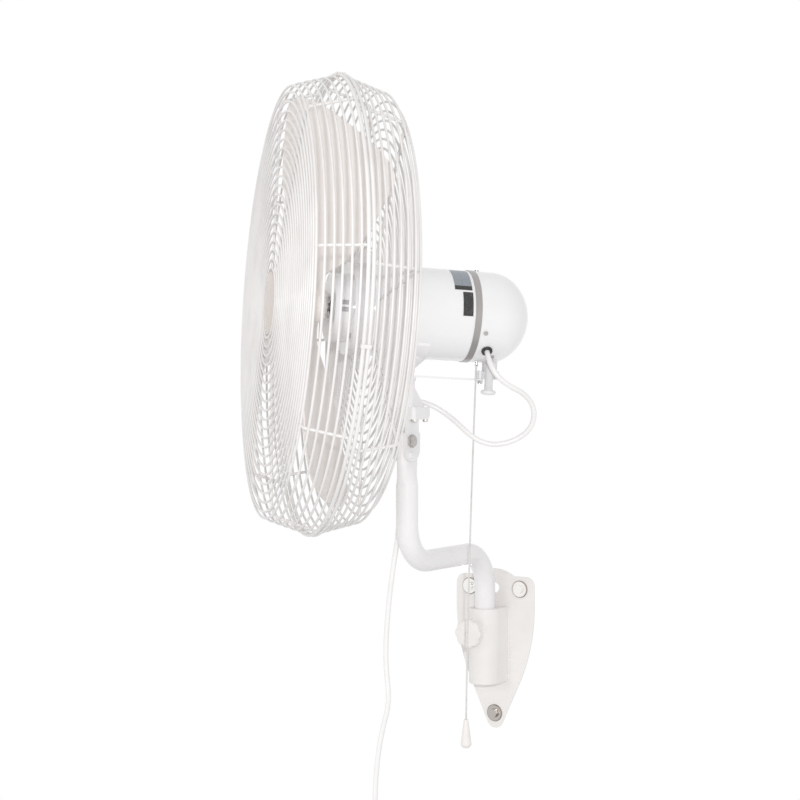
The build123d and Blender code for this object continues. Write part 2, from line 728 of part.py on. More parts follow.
def bearing(low):
    """Outer ring, inner ring and balls of a deep groove bearing."""
    outer = tube_between(16.2, 13.2, low, low + 9)
    inner = tube_between(9.8, 6.1, low, low + 9)
    balls = []
    for i in range(8):
        x, y, _ = polar(11.5, 45 * i)
        balls.append(Pos(x, y, low + 4.5) * Sphere(1.65))
    return [fan * outer, fan * inner] + [fan * ball for ball in balls]


def stator_core():
    return fan * tube_between(SHELL_R - SHELL_WALL, 40.0, 0.0, 52.0)


def stator_windings():
    rings = []
    for middle in (-10.0, 62.0):
        ring = Pos(0, 0, middle) * Torus(53.5, 8.5)
        rings.append(fan * ring)
    return rings


def run_capacitor():
    can = Pos(-30, 37, -122) * Cylinder(13.0, 46)
    can = fillet(can.edges().group_by(Axis.Z)[0], 2.0)
    return fan * can


CASE_REAR = CRANK_AXIS - 24
CASE_FRONT = CRANK_AXIS + 17
BOSS_LOW = -81.8


def gear_case():
    """Closed gear housing on the motor's rear, with the output boss below."""
    wall = 3.0
    left, right, bottom, top = -25.0, 15.5, -48.0, 14.0
    case = block(left, right, bottom, top, CASE_REAR, CASE_FRONT)
    case = fillet(case.edges().filter_by(Axis.Y), 6.0)
    case -= block(left + wall, right - wall, bottom + wall, top - wall, CASE_REAR + wall, CASE_FRONT - wall)
    case += rod(11.5, (0, bottom + 2, CRANK_AXIS), (0, BOSS_LOW, CRANK_AXIS))
    case -= rod(5.3, (0, bottom + 5, CRANK_AXIS), (0, BOSS_LOW - 1, CRANK_AXIS))
    case -= rod(8.4, (0, 0, CASE_FRONT - 10), (0, 0, CASE_FRONT + 10))
    return fan * case


def speed_switch():
    """Pull switch inside the rear cover."""
    body = block(SWITCH_SIDE - 5, SWITCH_SIDE + 16, -57, -38, SWITCH_AT - 5, SWITCH_AT + 11)
    body -= rod(2.3, (SWITCH_SIDE, -41, SWITCH_AT), (SWITCH_SIDE, -70, SWITCH_AT))
    return fan * body


def rating_plates():
    """Two bare plates bent round the shell near the band."""
    plates = []
    for angle0, angle1, back, front in ((30, 72, -84.0, -57.0), (-3.5, 27, -84.5, -69.0)):
        sector = Circle(SHELL_R + 0.5) - Circle(SHELL_R)
        wedge = make_face(
            Polyline((0, 0), polar(120, angle0)[:2], polar(120, (angle0 + angle1) / 2)[:2], polar(120, angle1)[:2],
                     close=True)
        )
        plates.append(fan * extrude(Pos(0, 0, back) * (sector & wedge), front - back))
    return plates


# ---- head: guards --------------------------------------------------------------------------------
FRONT_FACE = 72.0            # ring plane ahead of the joint plane, at the outer edge of the face
FRONT_CROWN = 7.0            # the face swells by this much towards its middle
FRONT_SLOPE = 0.315          # the sides draw in by this much per millimetre
REAR_FACE = -72.5
REAR_SLOPE = 0.293
SIDE_TOP_R = 341.3           # side rings' radius where the sides meet the rims
FRONT_RIM = 5.5
REAR_RIM = -1.5
FACE_OUTER = 310.4
RIB_OFFSET = RING_WIRE + RIB_WIRE + 0.01
RIB_BEND = 9.0


def front_face_at(radius):
    return FRONT_FACE + FRONT_CROWN * (FACE_OUTER - radius) / FACE_OUTER


def ring(along, radius, wire):
    return fan * (Pos(0, 0, RIM_AT + along) * Torus(radius, wire))


def face_radii(inner):
    radii = []
    radius = FACE_OUTER
    while radius > inner:
        radii.append(radius)
        radius -= RING_PITCH
    return radii


def rib(angle, points, bend):
    """One bent wire in a plane through the axis. Points are (radius, distance ahead of the joint plane)."""
    path = [Vector(r, 0, RIM_AT + a) for r, a in points]
    line = FilletPolyline(*path, radius=bend)
    start = Plane(origin=line @ 0, z_dir=line % 0)
    return fan * (Rot(0, 0, angle) * sweep(start * Circle(RIB_WIRE), line))


def front_side_r(along):
    return SIDE_TOP_R - FRONT_SLOPE * (along - FRONT_RIM)


def rear_side_r(along):
    return SIDE_TOP_R + REAR_SLOPE * (along - REAR_RIM)


def front_rib(angle):
    inset = RIB_OFFSET * sqrt(1 + FRONT_SLOPE**2)
    inner_r = 38.0
    level = front_face_at(317.0) - RIB_OFFSET
    end = REAR_RIM + RIM_WIRE + 0.3 + RIB_WIRE
    points = [
        (inner_r, front_face_at(inner_r) - RIB_OFFSET),
        (front_side_r(level) - inset, level),
        (front_side_r(end) - inset, end),
    ]
    return rib(angle, points, RIB_BEND)


def rear_rib(angle):
    inset = RIB_OFFSET * sqrt(1 + REAR_SLOPE**2)
    inner_r = 76.0
    level = REAR_FACE + RIB_OFFSET
    end = REAR_RIM + 0.4
    points = [
        (inner_r, level),
        (rear_side_r(level) - inset, level),
        (rear_side_r(end) - inset, end),
    ]
    return rib(angle, points, RIB_BEND)


FRONT_SIDES = [59.5, 48.0, 37.0, 25.5, 14.0]
REAR_SIDES = [-62.6, -51.5, -41.0, -31.0, -20.0, -10.5]
CORNER_RING = (320.0, 70.2)


def front_face_rings():
    rings = [ring(front_face_at(r), r, RING_WIRE) for r in face_radii(50.0)]
    corner_r, corner_along = CORNER_RING
    rings.append(ring(corner_along, corner_r, RING_WIRE))
    return rings


def front_side_rings():
    return [ring(a, front_side_r(a), RING_WIRE) for a in FRONT_SIDES]


def rear_face_rings():
    return [ring(REAR_FACE, r, RING_WIRE) for r in face_radii(92.0)]


def rear_side_rings():
    return [ring(a, rear_side_r(a), RING_WIRE) for a in REAR_SIDES]


def rear_guard_mount():
    """Steel ring that the rear ribs are welded to, screwed to the shell."""
    back = RIM_AT + REAR_FACE + RIB_OFFSET + RIB_WIRE
    return fan * tube_between(92.0, SHELL_R + 0.1, back, back + 2.0)


def badge():
    """Bare domed disc and the plate behind it that the ribs are welded to."""
    back_r = 44.0
    rib_low = RIM_AT + front_face_at(back_r) - RIB_OFFSET - RIB_WIRE
    back_plate = tube_between(back_r, 6.0, rib_low - 2.0, rib_low)
    low = RIM_AT + front_face_at(38.0) - RIB_OFFSET + RIB_WIRE + 0.1
    thick = 2.4
    crown = 2.0
    dome_r = (BADGE_R**2 + crown**2) / (2 * crown)
    disc = Pos(0, 0, low + thick / 2) * Cylinder(BADGE_R, thick)
    cap = (Pos(0, 0, low + thick + crown - dome_r) * Sphere(dome_r)) & (Pos(0, 0, low + thick + 2) * Cylinder(BADGE_R, 4))
    return fan * back_plate, fan * (disc + cap)


CLIP_ANGLES = [-12.0, 78.0, 168.0, 258.0]


def guard_clip(angle):
    """Small sheet saddle that squeezes the two rims together."""
    sheet = 1.2
    width = 14.0
    outer = RIM_R + RIM_WIRE + 0.2
    middle = RIM_AT + (FRONT_RIM + REAR_RIM) / 2
    half_gap = (FRONT_RIM - REAR_RIM) / 2 + RIM_WIRE + 0.1
    clip = Pos(outer + sheet / 2, 0, middle) * Box(sheet, width, 2 * (half_gap + sheet))
    for side in (-1, 1):
        clip += Pos(outer - 2.6, 0, middle + side * (half_gap + sheet / 2)) * Box(7.6, width, sheet)
    return fan * (Rot(0, 0, angle) * clip)


# ---- fan wheel -----------------------------------------------------------------------------------
HUB_BACK = 127.0
HUB_FRONT = 160.0
ROOT_R = 25.0                # blades start here, on the drum
COLLAR_R = 15.0
SHAFT_R = 6.0
BLADE_MIDDLE = 142.0


def motor_shaft():
    """Shaft through the motor with the worm at its rear end."""
    shaft = rod(6.0, (0, 0, -100.0), (0, 0, 170.0)) + rod(7.6, (0, 0, -148.0), (0, 0, -100.0))
    return fan * shaft


def rotor():
    body = tube_between(39.2, 6.0, 0.0, 52.0)
    for end, low in ((52.0, 52.0), (-5.0, -5.0)):
        body += tube_between(37.0, 27.0, low, low + 5.0)
    return fan * body


def blade_hub():
    """Short drum with a long collar on the shaft; the blades' roots are fixed to the drum."""
    drum_half = 11.0
    hub = tube_between(ROOT_R, ROOT_R - 3, BLADE_MIDDLE - drum_half, BLADE_MIDDLE + drum_half)
    hub += tube_between(ROOT_R, SHAFT_R, BLADE_MIDDLE - 2, BLADE_MIDDLE + 2)
    hub += tube_between(COLLAR_R, SHAFT_R, HUB_BACK, HUB_FRONT)
    return fan * hub


def hub_nut():
    nut = hex_bar(18.0, HUB_FRONT, HUB_FRONT + 8) - Cylinder(6.0, 400)
    return fan * nut


def blade_section(radius, pitch, chord):
    """Bowed strip across the blade at one radius."""
    camber = chord * 0.07
    top = ThreePointArc((-chord / 2, 0), (0, camber), (chord / 2, 0))
    low = ThreePointArc((-chord / 2, -BLADE_THICK), (0, camber - BLADE_THICK), (chord / 2, -BLADE_THICK))
    face = make_face([top, low, Line(top @ 0, low @ 0), Line(top @ 1, low @ 1)])
    lean = radians(pitch)
    plane = Plane(origin=(radius, 0, BLADE_MIDDLE), x_dir=(0, cos(lean), sin(lean)), z_dir=(1, 0, 0))
    return plane * face


def blade(angle):
    """Broad pressed blade: a twisted strip cut to a rounded plan with a narrow root."""
    strip = loft(
        [
            blade_section(20.0, 33.0, 100.0),
            blade_section(120.0, 30.0, 210.0),
            blade_section(210.0, 26.0, 270.0),
            blade_section(320.0, 21.0, 300.0),
        ]
    )
    plan = make_face(
        [
            Line((20, -16), (20, 16)),
            Spline((20, 16), (56, 19), (84, 48), (140, 92), (205, 122), tangents=[(1, 0), (1, 0.35)]),
            Spline((205, 122), (258, 132), (288, 98), tangents=[(1, 0.35), (0.42, -1)]),
            ThreePointArc((288, 98), (BLADE_TIP, 0), (288, -98)),
            Spline((288, -98), (262, -126), (208, -110), tangents=[(-0.42, -1), (-1, 0.4)]),
            Spline((208, -110), (140, -78), (84, -42), (56, -19), (20, -16), tangents=[(-1, 0.4), (-1, 0)]),
        ]
    )
    solid = strip & extrude(plan, 400)
    solid -= Pos(0, 0, BLADE_MIDDLE) * Cylinder(ROOT_R, 100)
    return fan * (Rot(0, 0, angle) * solid)


BLADE_ANGLES = [62.0 + 360 / BLADES * i for i in range(BLADES)]


# ---- oscillating drive -----------------------------------------------------------------------------
LINK_LEVEL = -96.0           # middle of the link, below the fan axis and square to it
LINK_THICK = 2.8
LINK_WIDE = 6.4
PIN_AT = CRANK_AXIS + CRANK_THROW
CRANK_TOP = BOSS_LOW - 0.4


def crank_shaft():
    """Output shaft with its gear, inside the gear case."""
    shaft = rod(5.0, (0, -28, CRANK_AXIS), (0, CRANK_TOP - 11, CRANK_AXIS))
    return fan * (shaft + rod(10.5, (0, -31, CRANK_AXIS), (0, -39, CRANK_AXIS)))


def crank_arm():
    """Eccentric disc on the output shaft, with a thicker lobe round the pin."""
    low = LINK_LEVEL + LINK_THICK / 2 + 0.3
    arm = rod(15.0, (0, CRANK_TOP, CRANK_AXIS), (0, low, CRANK_AXIS))
    arm += rod(8.0, (0, CRANK_TOP, PIN_AT), (0, low, PIN_AT))
    arm -= rod(5.0, (0, -60, CRANK_AXIS), (0, CRANK_TOP - 11, CRANK_AXIS))
    arm -= rod(2.5, (0, -60, PIN_AT), (0, -110, PIN_AT))
    return fan * arm


def crank_pin():
    """Pin of the crank and the nut that keeps the link on it."""
    nut_top = LINK_LEVEL - LINK_THICK / 2 - 0.3
    pin = rod(2.5, (0, CRANK_TOP - 1, PIN_AT), (0, nut_top - 5.2, PIN_AT))
    nut = Pos(0, nut_top, PIN_AT) * Rot(90, 0, 0) * (hex_bar(8.0, 0, 4.2) - Cylinder(2.5, 40))
    return fan * pin, fan * nut


def link_rod():
    """Flat bar from the crank pin to the lug beside the post."""
    yaw = radians(HEAD_YAW)
    nose = radians(NOSE_UP)
    # the lug's pivot seen from the head: distance ahead of the post, and to the fan's left
    ahead = LUG_REACH * sin(yaw) * cos(nose) + LINK_LEVEL * tan(nose)
    left = -LUG_REACH * cos(yaw)
    length = sqrt((ahead - PIN_AT) ** 2 + left**2)
    turn = degrees(atan2(ahead - PIN_AT, left))
    bar = Pos(length / 2, 0) * SlotCenterToCenter(length, LINK_WIDE) - Circle(2.7)
    bar += Circle(5.2) - Circle(2.7)
    bar += Pos(length, 0) * Circle(4.6)
    flat = extrude(bar, LINK_THICK / 2, both=True)
    flat += Pos(length, 0, -LINK_THICK / 2) * Cylinder(2.8, 2.4)
    # local x of the drawing is the fan's left, its y runs forward, its z points down
    place = Pos(0, LINK_LEVEL, PIN_AT) * Rot(90, 0, 0) * Rot(0, 0, turn)
    return fan * (place * flat)


def plunger():
    """Push-pull knob that lets the head swing or holds it still."""
    x, along = PLUNGER_SIDE, PLUNGER_AT
    stem = rod(5.0, (x, -46, along), (x, -114, along))
    flange = rod(11.8, (x, -112.5, along), (x, -119.5, along))
    flange = fillet(flange.edges().filter_by(GeomType.CIRCLE), 3.0)
    return fan * (stem + flange)


# ---- pull switch -------------------------------------------------------------------------------------
PULL_STEM_LOW = -73.1
LINK_AT = (82.5, -213.9, 366.9)   # middle of the link between the switch's stem and the cord
LEAN_TURN = 25.0             # turn of its first pin from straight across the arm


def pull_stem():
    stem = rod(1.9, (SWITCH_SIDE, -42, SWITCH_AT), (SWITCH_SIDE, PULL_STEM_LOW, SWITCH_AT))
    return fan * stem


def cord_link():
    """Two short crossed pins: the cord leans on one and sways on the other."""
    pin = Rot(0, 90, 0) * Cylinder(1.4, 4.4)
    return Pos(*LINK_AT) * (pin + Rot(0, 0, LEAN_TURN) * pin)


PULL_ROUTE = [
    (82.4, -213.88, 364.9),
    (66.6, -210.9, 56.0),
    (63.2, -211.4, -177.5),
]


def pull_cord():
    return cord_tube("pull cord", PULL_ROUTE, PULL_R)


def pull_knob():
    """Tapered handle with a domed foot."""
    top_r, foot_r, taper, dome = 3.4, 8.5, 38.0, 6.5
    dome_r = (foot_r**2 + dome**2) / (2 * dome)
    x, y, z = PULL_ROUTE[-1]
    knob = Pos(0, 0, -taper / 2) * Cone(foot_r, top_r, taper)
    foot = (Pos(0, 0, dome_r - dome - taper) * Sphere(dome_r)) & (Pos(0, 0, -taper - dome / 2) * Box(40, 40, dome))
    return Pos(x, y, z - 0.3) * (knob + foot)


# ---- write -------------------------------------------------------------------------------------------
os.makedirs("parts", exist_ok=True)

save("wall_plate", wall_plate())
save("arm_socket", arm_socket())
save("wall_screws", *[wall_screw(x, z) for x, z in SCREW_PLACES], *[wall_washer(x, z) for x, z in SCREW_PLACES])
save("clamp_screw", clamp_screw())
save("clamp_knob", clamp_knob())

save("support_arm", support_arm())
save("power_lead", cord_tube("power lead", LEAD_ROUTE, CORD_R))
save("lead_coil", cord_coil())
save("lead_tail", cord_tube("lead tail", tail_route(), CORD_R))
save("lead_tie", cord_tie())
save("plug_body", plug_body())
save("plug_blades", *plug_blades())

save("tilt_clevis", tilt_clevis())
save("tilt_pin", tilt_pin())
save("tilt_lock_bolt", *tilt_lock())
save("neck_block", neck_block())
save("neck_screws", *[neck_screw(x, y) for x, y in NECK_SCREWS])
save("pivot_post", pivot_post())
save("link_lug", link_lug())
save("lead_bush", lead_bush())

save("saddle", saddle())
save("motor_shell", motor_shell())
save("trim_band", trim_band())
save("rear_cover", rear_cover())
save("cord_bush", cord_grommet())
save("end_bells", front_bell(), rear_end_plate())
save("motor_screws", *[bell_screw(i) for i in range(4)], *[cover_screw(a, s) for a, s in COVER_SCREWS])
save("bearings", *bearing(BELL_FRONT - 10), *bearing(-44.0))
save("stator_core", stator_core())
save("stator_windings", *stator_windings())
save("run_capacitor", run_capacitor())
save("gear_case", gear_case())
save("speed_switch", speed_switch())
save("rating_plates", *rating_plates())
save("cord_loop", cord_tube("cord loop", LOOP_ROUTE, CORD_R))

save("front_face_rings", *front_face_rings())
save("front_side_rings", *front_side_rings())
save("front_ribs", *[front_rib(FRONT_PHASE + 360 / RIBS * i) for i in range(RIBS)])
save("rear_face_rings", *rear_face_rings())
save("rear_side_rings", *rear_side_rings())
save("guard_rims", ring(FRONT_RIM, RIM_R, RIM_WIRE), ring(REAR_RIM, RIM_R, RIM_WIRE))
save("rear_ribs", *[rear_rib(REAR_PHASE + 360 / RIBS * i) for i in range(RIBS)])
save("guard_mount", rear_guard_mount())
save("badge", *badge())
save("guard_clips", *[guard_clip(a) for a in CLIP_ANGLES])

save("motor_shaft", motor_shaft())
save("rotor", rotor())
save("blade_hub", blade_hub())
save("hub_nut", hub_nut())
for number, angle in enumerate(BLADE_ANGLES, 1):
    save(f"blade_{number}", blade(angle))

save("crank_arm", crank_shaft(), crank_arm())
save("crank_pin", *crank_pin())
save("link_rod", link_rod())
save("plunger", plunger())
save("pull_stem", pull_stem())
save("cord_link", cord_link())
save("pull_cord", pull_cord())
save("pull_knob", pull_knob())
print("files", len(os.listdir("parts")))
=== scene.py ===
import json
import math

import bmesh
import bpy
from mathutils import Matrix, Vector


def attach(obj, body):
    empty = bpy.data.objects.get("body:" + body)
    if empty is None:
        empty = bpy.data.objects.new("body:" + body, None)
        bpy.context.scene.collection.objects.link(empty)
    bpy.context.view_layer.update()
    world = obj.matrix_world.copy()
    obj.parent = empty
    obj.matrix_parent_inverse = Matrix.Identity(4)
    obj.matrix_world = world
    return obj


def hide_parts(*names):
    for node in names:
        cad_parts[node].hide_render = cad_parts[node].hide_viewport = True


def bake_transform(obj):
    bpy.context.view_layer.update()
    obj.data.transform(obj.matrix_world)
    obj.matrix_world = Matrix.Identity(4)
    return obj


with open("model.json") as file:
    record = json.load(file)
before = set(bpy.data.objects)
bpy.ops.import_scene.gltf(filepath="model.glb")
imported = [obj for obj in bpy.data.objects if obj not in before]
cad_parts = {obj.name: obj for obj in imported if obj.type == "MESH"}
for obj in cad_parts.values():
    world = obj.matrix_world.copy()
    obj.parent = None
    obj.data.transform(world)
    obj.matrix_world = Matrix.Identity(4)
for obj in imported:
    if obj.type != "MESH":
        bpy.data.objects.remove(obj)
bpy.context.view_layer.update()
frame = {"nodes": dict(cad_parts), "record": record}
nodes = frame["nodes"]
print("frame loaded:", len(nodes), "nodes")

# The head's own axes: x to its left side, y up, z along the motor, from the pivot post
head = {"post": (0.0, -0.282, 0.4475), "yaw": 44.0, "noseUp": 3.0}
headTurn = (
    Matrix.Rotation(math.radians(-head["yaw"]), 4, "Z")
    @ Matrix.Rotation(math.radians(-head["noseUp"]), 4, "X")
    @ Matrix.Rotation(math.radians(90), 4, "X")
)
headFrame = Matrix.Translation(head["post"]) @ headTurn


def onHead(across, up, along):
    return headFrame @ Vector((across, up, along))


def addNode(tree, kind, **settings):
    # in_Name sets a socket's value, any other setting an option of the node
    made = tree.nodes.new(kind)
    for key, value in settings.items():
        if key.startswith("in_"):
            made.inputs[key[3:].replace("_", " ")].default_value = value
        else:
            setattr(made, key, value)
    return made


def newGroup(name, takes, gives):
    tree = bpy.data.node_groups.new(name, "ShaderNodeTree")
    for label, kind, value in takes:
        socket = tree.interface.new_socket(label, in_out="INPUT", socket_type=kind)
        if value is not None:
            socket.default_value = value
    for label, kind in gives:
        tree.interface.new_socket(label, in_out="OUTPUT", socket_type=kind)
    return tree, tree.nodes.new("NodeGroupInput"), tree.nodes.new("NodeGroupOutput")


def noise(tree, vector, scale, detail=3.0, roughness=0.5):
    made = addNode(tree, "ShaderNodeTexNoise", in_Detail=detail, in_Roughness=roughness)
    tree.links.new(vector, made.inputs["Vector"])
    if isinstance(scale, (int, float)):
        made.inputs["Scale"].default_value = scale
    else:
        tree.links.new(scale, made.inputs["Scale"])
    return made.outputs["Fac"]


def ramp(tree, value, low, high, toLow=0.0, toHigh=1.0):
    made = addNode(tree, "ShaderNodeMapRange", clamp=True)
    made.interpolation_type = "SMOOTHSTEP"
    tree.links.new(value, made.inputs["Value"])
    made.inputs["From Min"].default_value = low
    made.inputs["From Max"].default_value = high
    made.inputs["To Min"].default_value = toLow
    made.inputs["To Max"].default_value = toHigh
    return made.outputs["Result"]


# A mix node has sockets for every kind of data: these are the colour ones
colourSockets = {"first": 6, "second": 7, "result": 2}


def blendColour(tree, mask, first, second):
    made = addNode(tree, "ShaderNodeMix", data_type="RGBA")
    tree.links.new(mask, made.inputs["Factor"])
    for label, value in (("first", first), ("second", second)):
        socket = made.inputs[colourSockets[label]]
        if isinstance(value, tuple):
            socket.default_value = value
        else:
            tree.links.new(value, socket)
    return made.outputs[colourSockets["result"]]


def mathNode(tree, operation, first, second=None):
    made = addNode(tree, "ShaderNodeMath", operation=operation)
    for socket, value in zip(made.inputs, (first, second)):
        if isinstance(value, (int, float)):
            socket.default_value = value
        elif value is not None:
            tree.links.new(value, socket)
    return made.outputs[0]


def headPlace(tree):
    # a point's place on the object, and the same place along the head's own axes
    place = tree.nodes.new("ShaderNodeTexCoord").outputs["Object"]
    local = addNode(tree, "ShaderNodeMapping", vector_type="TEXTURE")
    local.inputs["Location"].default_value = head["post"]
    local.inputs["Rotation"].default_value = headTurn.to_euler()
    tree.links.new(place, local.inputs["Vector"])
    parts = tree.nodes.new("ShaderNodeSeparateXYZ")
    tree.links.new(local.outputs["Vector"], parts.inputs[0])
    return place, parts


def blendToResult(tree, mask, source, second, result):
    # the group's main colour, blended with its second one
    colour = blendColour(tree, mask, source.outputs["Colour"], source.outputs[second])
    tree.links.new(colour, result.inputs["Colour"])


def glossToResult(tree, value, source, result):
    # a roughness between the group's two limits
    gloss = addNode(tree, "ShaderNodeMapRange")
    tree.links.new(value, gloss.inputs["Value"])
    tree.links.new(source.outputs["Smooth"], gloss.inputs["To Min"])
    tree.links.new(source.outputs["Rough"], gloss.inputs["To Max"])
    tree.links.new(gloss.outputs["Result"], result.inputs["Roughness"])


def reliefToResult(tree, height, strength, depth, result):
    relief = addNode(tree, "ShaderNodeBump", in_Distance=depth)
    tree.links.new(height, relief.inputs["Height"])
    tree.links.new(strength, relief.inputs["Strength"])
    tree.links.new(relief.outputs["Normal"], result.inputs["Normal"])


groupGives = [
    ("Colour", "NodeSocketColor"),
    ("Roughness", "NodeSocketFloat"),
    ("Normal", "NodeSocketVector"),
]

# Powder coat: faint orange peel, a slight drift of tone and a little handling dust
paintLook = {
    "drift": {"scale": 14.0, "detail": 3.0},
    "driftFrom": 0.35,
    "driftTo": 0.75,
    "specks": {"scale": 160.0, "detail": 2.0, "roughness": 0.7},
    "specksFrom": 0.62,
    "specksTo": 0.8,
    "gloss": {"scale": 40.0, "detail": 2.0},
    "peelDetail": 1.0,
    "peelDepth": 0.0002,
}


def paintGroup():
    tree, source, result = newGroup(
        "powderCoat",
        [
            ("Colour", "NodeSocketColor", (0.8, 0.8, 0.8, 1)),
            ("Shade", "NodeSocketColor", (0.7, 0.7, 0.7, 1)),
            ("Peel size", "NodeSocketFloat", 900.0),
            ("Peel height", "NodeSocketFloat", 0.1),
            ("Smooth", "NodeSocketFloat", 0.3),
            ("Rough", "NodeSocketFloat", 0.4),
        ],
        groupGives,
    )
    look = paintLook
    place = tree.nodes.new("ShaderNodeTexCoord").outputs["Object"]
    drift = ramp(tree, noise(tree, place, **look["drift"]), look["driftFrom"], look["driftTo"])
    specks = ramp(tree, noise(tree, place, **look["specks"]), look["specksFrom"], look["specksTo"])
    blendToResult(tree, mathNode(tree, "MAXIMUM", drift, specks), source, "Shade", result)
    glossToResult(tree, noise(tree, place, **look["gloss"]), source, result)
    peel = noise(tree, place, source.outputs["Peel size"], look["peelDetail"])
    reliefToResult(tree, peel, source.outputs["Peel height"], look["peelDepth"], result)
    return tree


# Metal worked round the motor's axis: fine rings, uneven along the axis
grainLook = {
    "lineDetail": 2.0,
    "lineRoughness": 0.6,
    "grooveFrom": 0.4,
    "grooveTo": 0.65,
    "grooveDepth": 0.0001,
}


def grainGroup():
    tree, source, result = newGroup(
        "turnedGrain",
        [
            ("Colour", "NodeSocketColor", (0.6, 0.6, 0.6, 1)),
            ("Groove", "NodeSocketColor", (0.4, 0.4, 0.4, 1)),
            ("Fineness", "NodeSocketFloat", 2500.0),
            ("Depth", "NodeSocketFloat", 0.2),
            ("Smooth", "NodeSocketFloat", 0.2),
            ("Rough", "NodeSocketFloat", 0.4),
        ],
        groupGives,
    )
    look = grainLook
    parts = headPlace(tree)[1]
    flat = tree.nodes.new("ShaderNodeCombineXYZ")
    tree.links.new(parts.outputs["X"], flat.inputs["X"])
    tree.links.new(parts.outputs["Y"], flat.inputs["Y"])
    radius = addNode(tree, "ShaderNodeVectorMath", operation="LENGTH")
    tree.links.new(flat.outputs[0], radius.inputs[0])
    ringed = tree.nodes.new("ShaderNodeCombineXYZ")
    tree.links.new(radius.outputs["Value"], ringed.inputs["X"])
    tree.links.new(parts.outputs["Z"], ringed.inputs["Y"])
    fineness = source.outputs["Fineness"]
    lines = noise(tree, ringed.outputs[0], fineness, look["lineDetail"], look["lineRoughness"])
    grooves = ramp(tree, lines, look["grooveFrom"], look["grooveTo"])
    blendToResult(tree, grooves, source, "Groove", result)
    glossToResult(tree, lines, source, result)
    reliefToResult(tree, lines, source.outputs["Depth"], look["grooveDepth"], result)
    return tree


# Plastic and rubber: fine moulded texture and rubbed places
mouldLook = {
    "worn": {"scale": 45.0, "detail": 4.0, "roughness": 0.6},
    "wornFrom": 0.45,
    "wornTo": 0.8,
    "grainDetail": 2.0,
    "grainDepth": 0.0001,
}


def mouldGroup():
    tree, source, result = newGroup(
        "mouldedSkin",
        [
            ("Colour", "NodeSocketColor", (0.8, 0.8, 0.8, 1)),
            ("Rubbed", "NodeSocketColor", (0.7, 0.7, 0.7, 1)),
            ("Grain size", "NodeSocketFloat", 1200.0),
            ("Grain height", "NodeSocketFloat", 0.1),
            ("Smooth", "NodeSocketFloat", 0.3),
            ("Rough", "NodeSocketFloat", 0.5),
        ],
        groupGives,
    )
    look = mouldLook
    place = tree.nodes.new("ShaderNodeTexCoord").outputs["Object"]
    rubbed = ramp(tree, noise(tree, place, **look["worn"]), look["wornFrom"], look["wornTo"])
    blendToResult(tree, rubbed, source, "Rubbed", result)
    glossToResult(tree, rubbed, source, result)
    grain = noise(tree, place, source.outputs["Grain size"], look["grainDetail"])
    reliefToResult(tree, grain, source.outputs["Grain height"], look["grainDepth"], result)
    return tree


effects = {"powderCoat": paintGroup(), "turnedGrain": grainGroup(), "mouldedSkin": mouldGroup()}


def newSkin(name, effect, values, metallic):
    # a material whose roughness and relief come from an effect
    made = bpy.data.materials.new(name)
    made.use_nodes = True
    tree = made.node_tree
    skin = tree.nodes["Principled BSDF"]
    skin.inputs["Metallic"].default_value = metallic
    group = tree.nodes.new("ShaderNodeGroup")
    group.node_tree = effects[effect]
    for label, value in values.items():
        group.inputs[label].default_value = value
    tree.links.new(group.outputs["Roughness"], skin.inputs["Roughness"])
    tree.links.new(group.outputs["Normal"], skin.inputs["Normal"])
    return made, tree, skin, group


lacquerRoughness = 0.04


def finish(name, effect, values, metallic=0.0, lacquer=0.0):
    made, tree, skin, group = newSkin(name, effect, values, metallic)
    skin.inputs["Coat Weight"].default_value = lacquer
    skin.inputs["Coat Roughness"].default_value = lacquerRoughness
    tree.links.new(group.outputs["Colour"], skin.inputs["Base Color"])
    return made


def coat(name, colour, shade, peel=900.0, height=0.12, smooth=0.28, rough=0.42, **more):
    values = {"Colour": colour, "Shade": shade, "Peel size": peel, "Peel height": height}
    values.update({"Smooth": smooth, "Rough": rough})
    return finish(name, "powderCoat", values, **more)


def metal(name, colour, groove, fineness=2500.0, depth=0.2, smooth=0.2, rough=0.4, metallic=1.0):
    values = {"Colour": colour, "Groove": groove, "Fineness": fineness, "Depth": depth}
    values.update({"Smooth": smooth, "Rough": rough})
    return finish(name, "turnedGrain", values, metallic=metallic)


def moulded(name, colour, rubbed, grain=1200.0, height=0.1, smooth=0.3, rough=0.5, **more):
    values = {"Colour": colour, "Rubbed": rubbed, "Grain size": grain, "Grain height": height}
    values.update({"Smooth": smooth, "Rough": rough})
    return finish(name, "mouldedSkin", values, **more)


# Each slot's material: its name, main colour, second colour and what differs from the usual
paints = {
    "bracket_paint": ("bracketPaint", (0.885, 0.86, 0.845, 1), (0.84, 0.815, 0.80, 1), {}),
    "arm_paint": (
        "armPaint",
        (0.90, 0.885, 0.885, 1),
        (0.86, 0.845, 0.85, 1),
        {"smooth": 0.14, "rough": 0.24, "lacquer": 0.3},
    ),
    "neck_paint": (
        "neckPaint",
        (0.90, 0.89, 0.895, 1),
        (0.84, 0.83, 0.835, 1),
        {"peel": 500.0, "height": 0.25},
    ),
    "motor_paint": (
        "motorPaint",
        (0.90, 0.90, 0.905, 1),
        (0.87, 0.87, 0.88, 1),
        {"smooth": 0.1, "rough": 0.18, "lacquer": 0.5},
    ),
    "wire_paint": (
        "wirePaint",
        (0.85, 0.835, 0.825, 1),
        (0.78, 0.76, 0.75, 1),
        {"peel": 1500.0, "height": 0.06},
    ),
    "blade_paint": (
        "bladePaint",
        (0.905, 0.86, 0.83, 1),
        (0.87, 0.82, 0.79, 1),
        {"smooth": 0.3, "rough": 0.4},
    ),
}
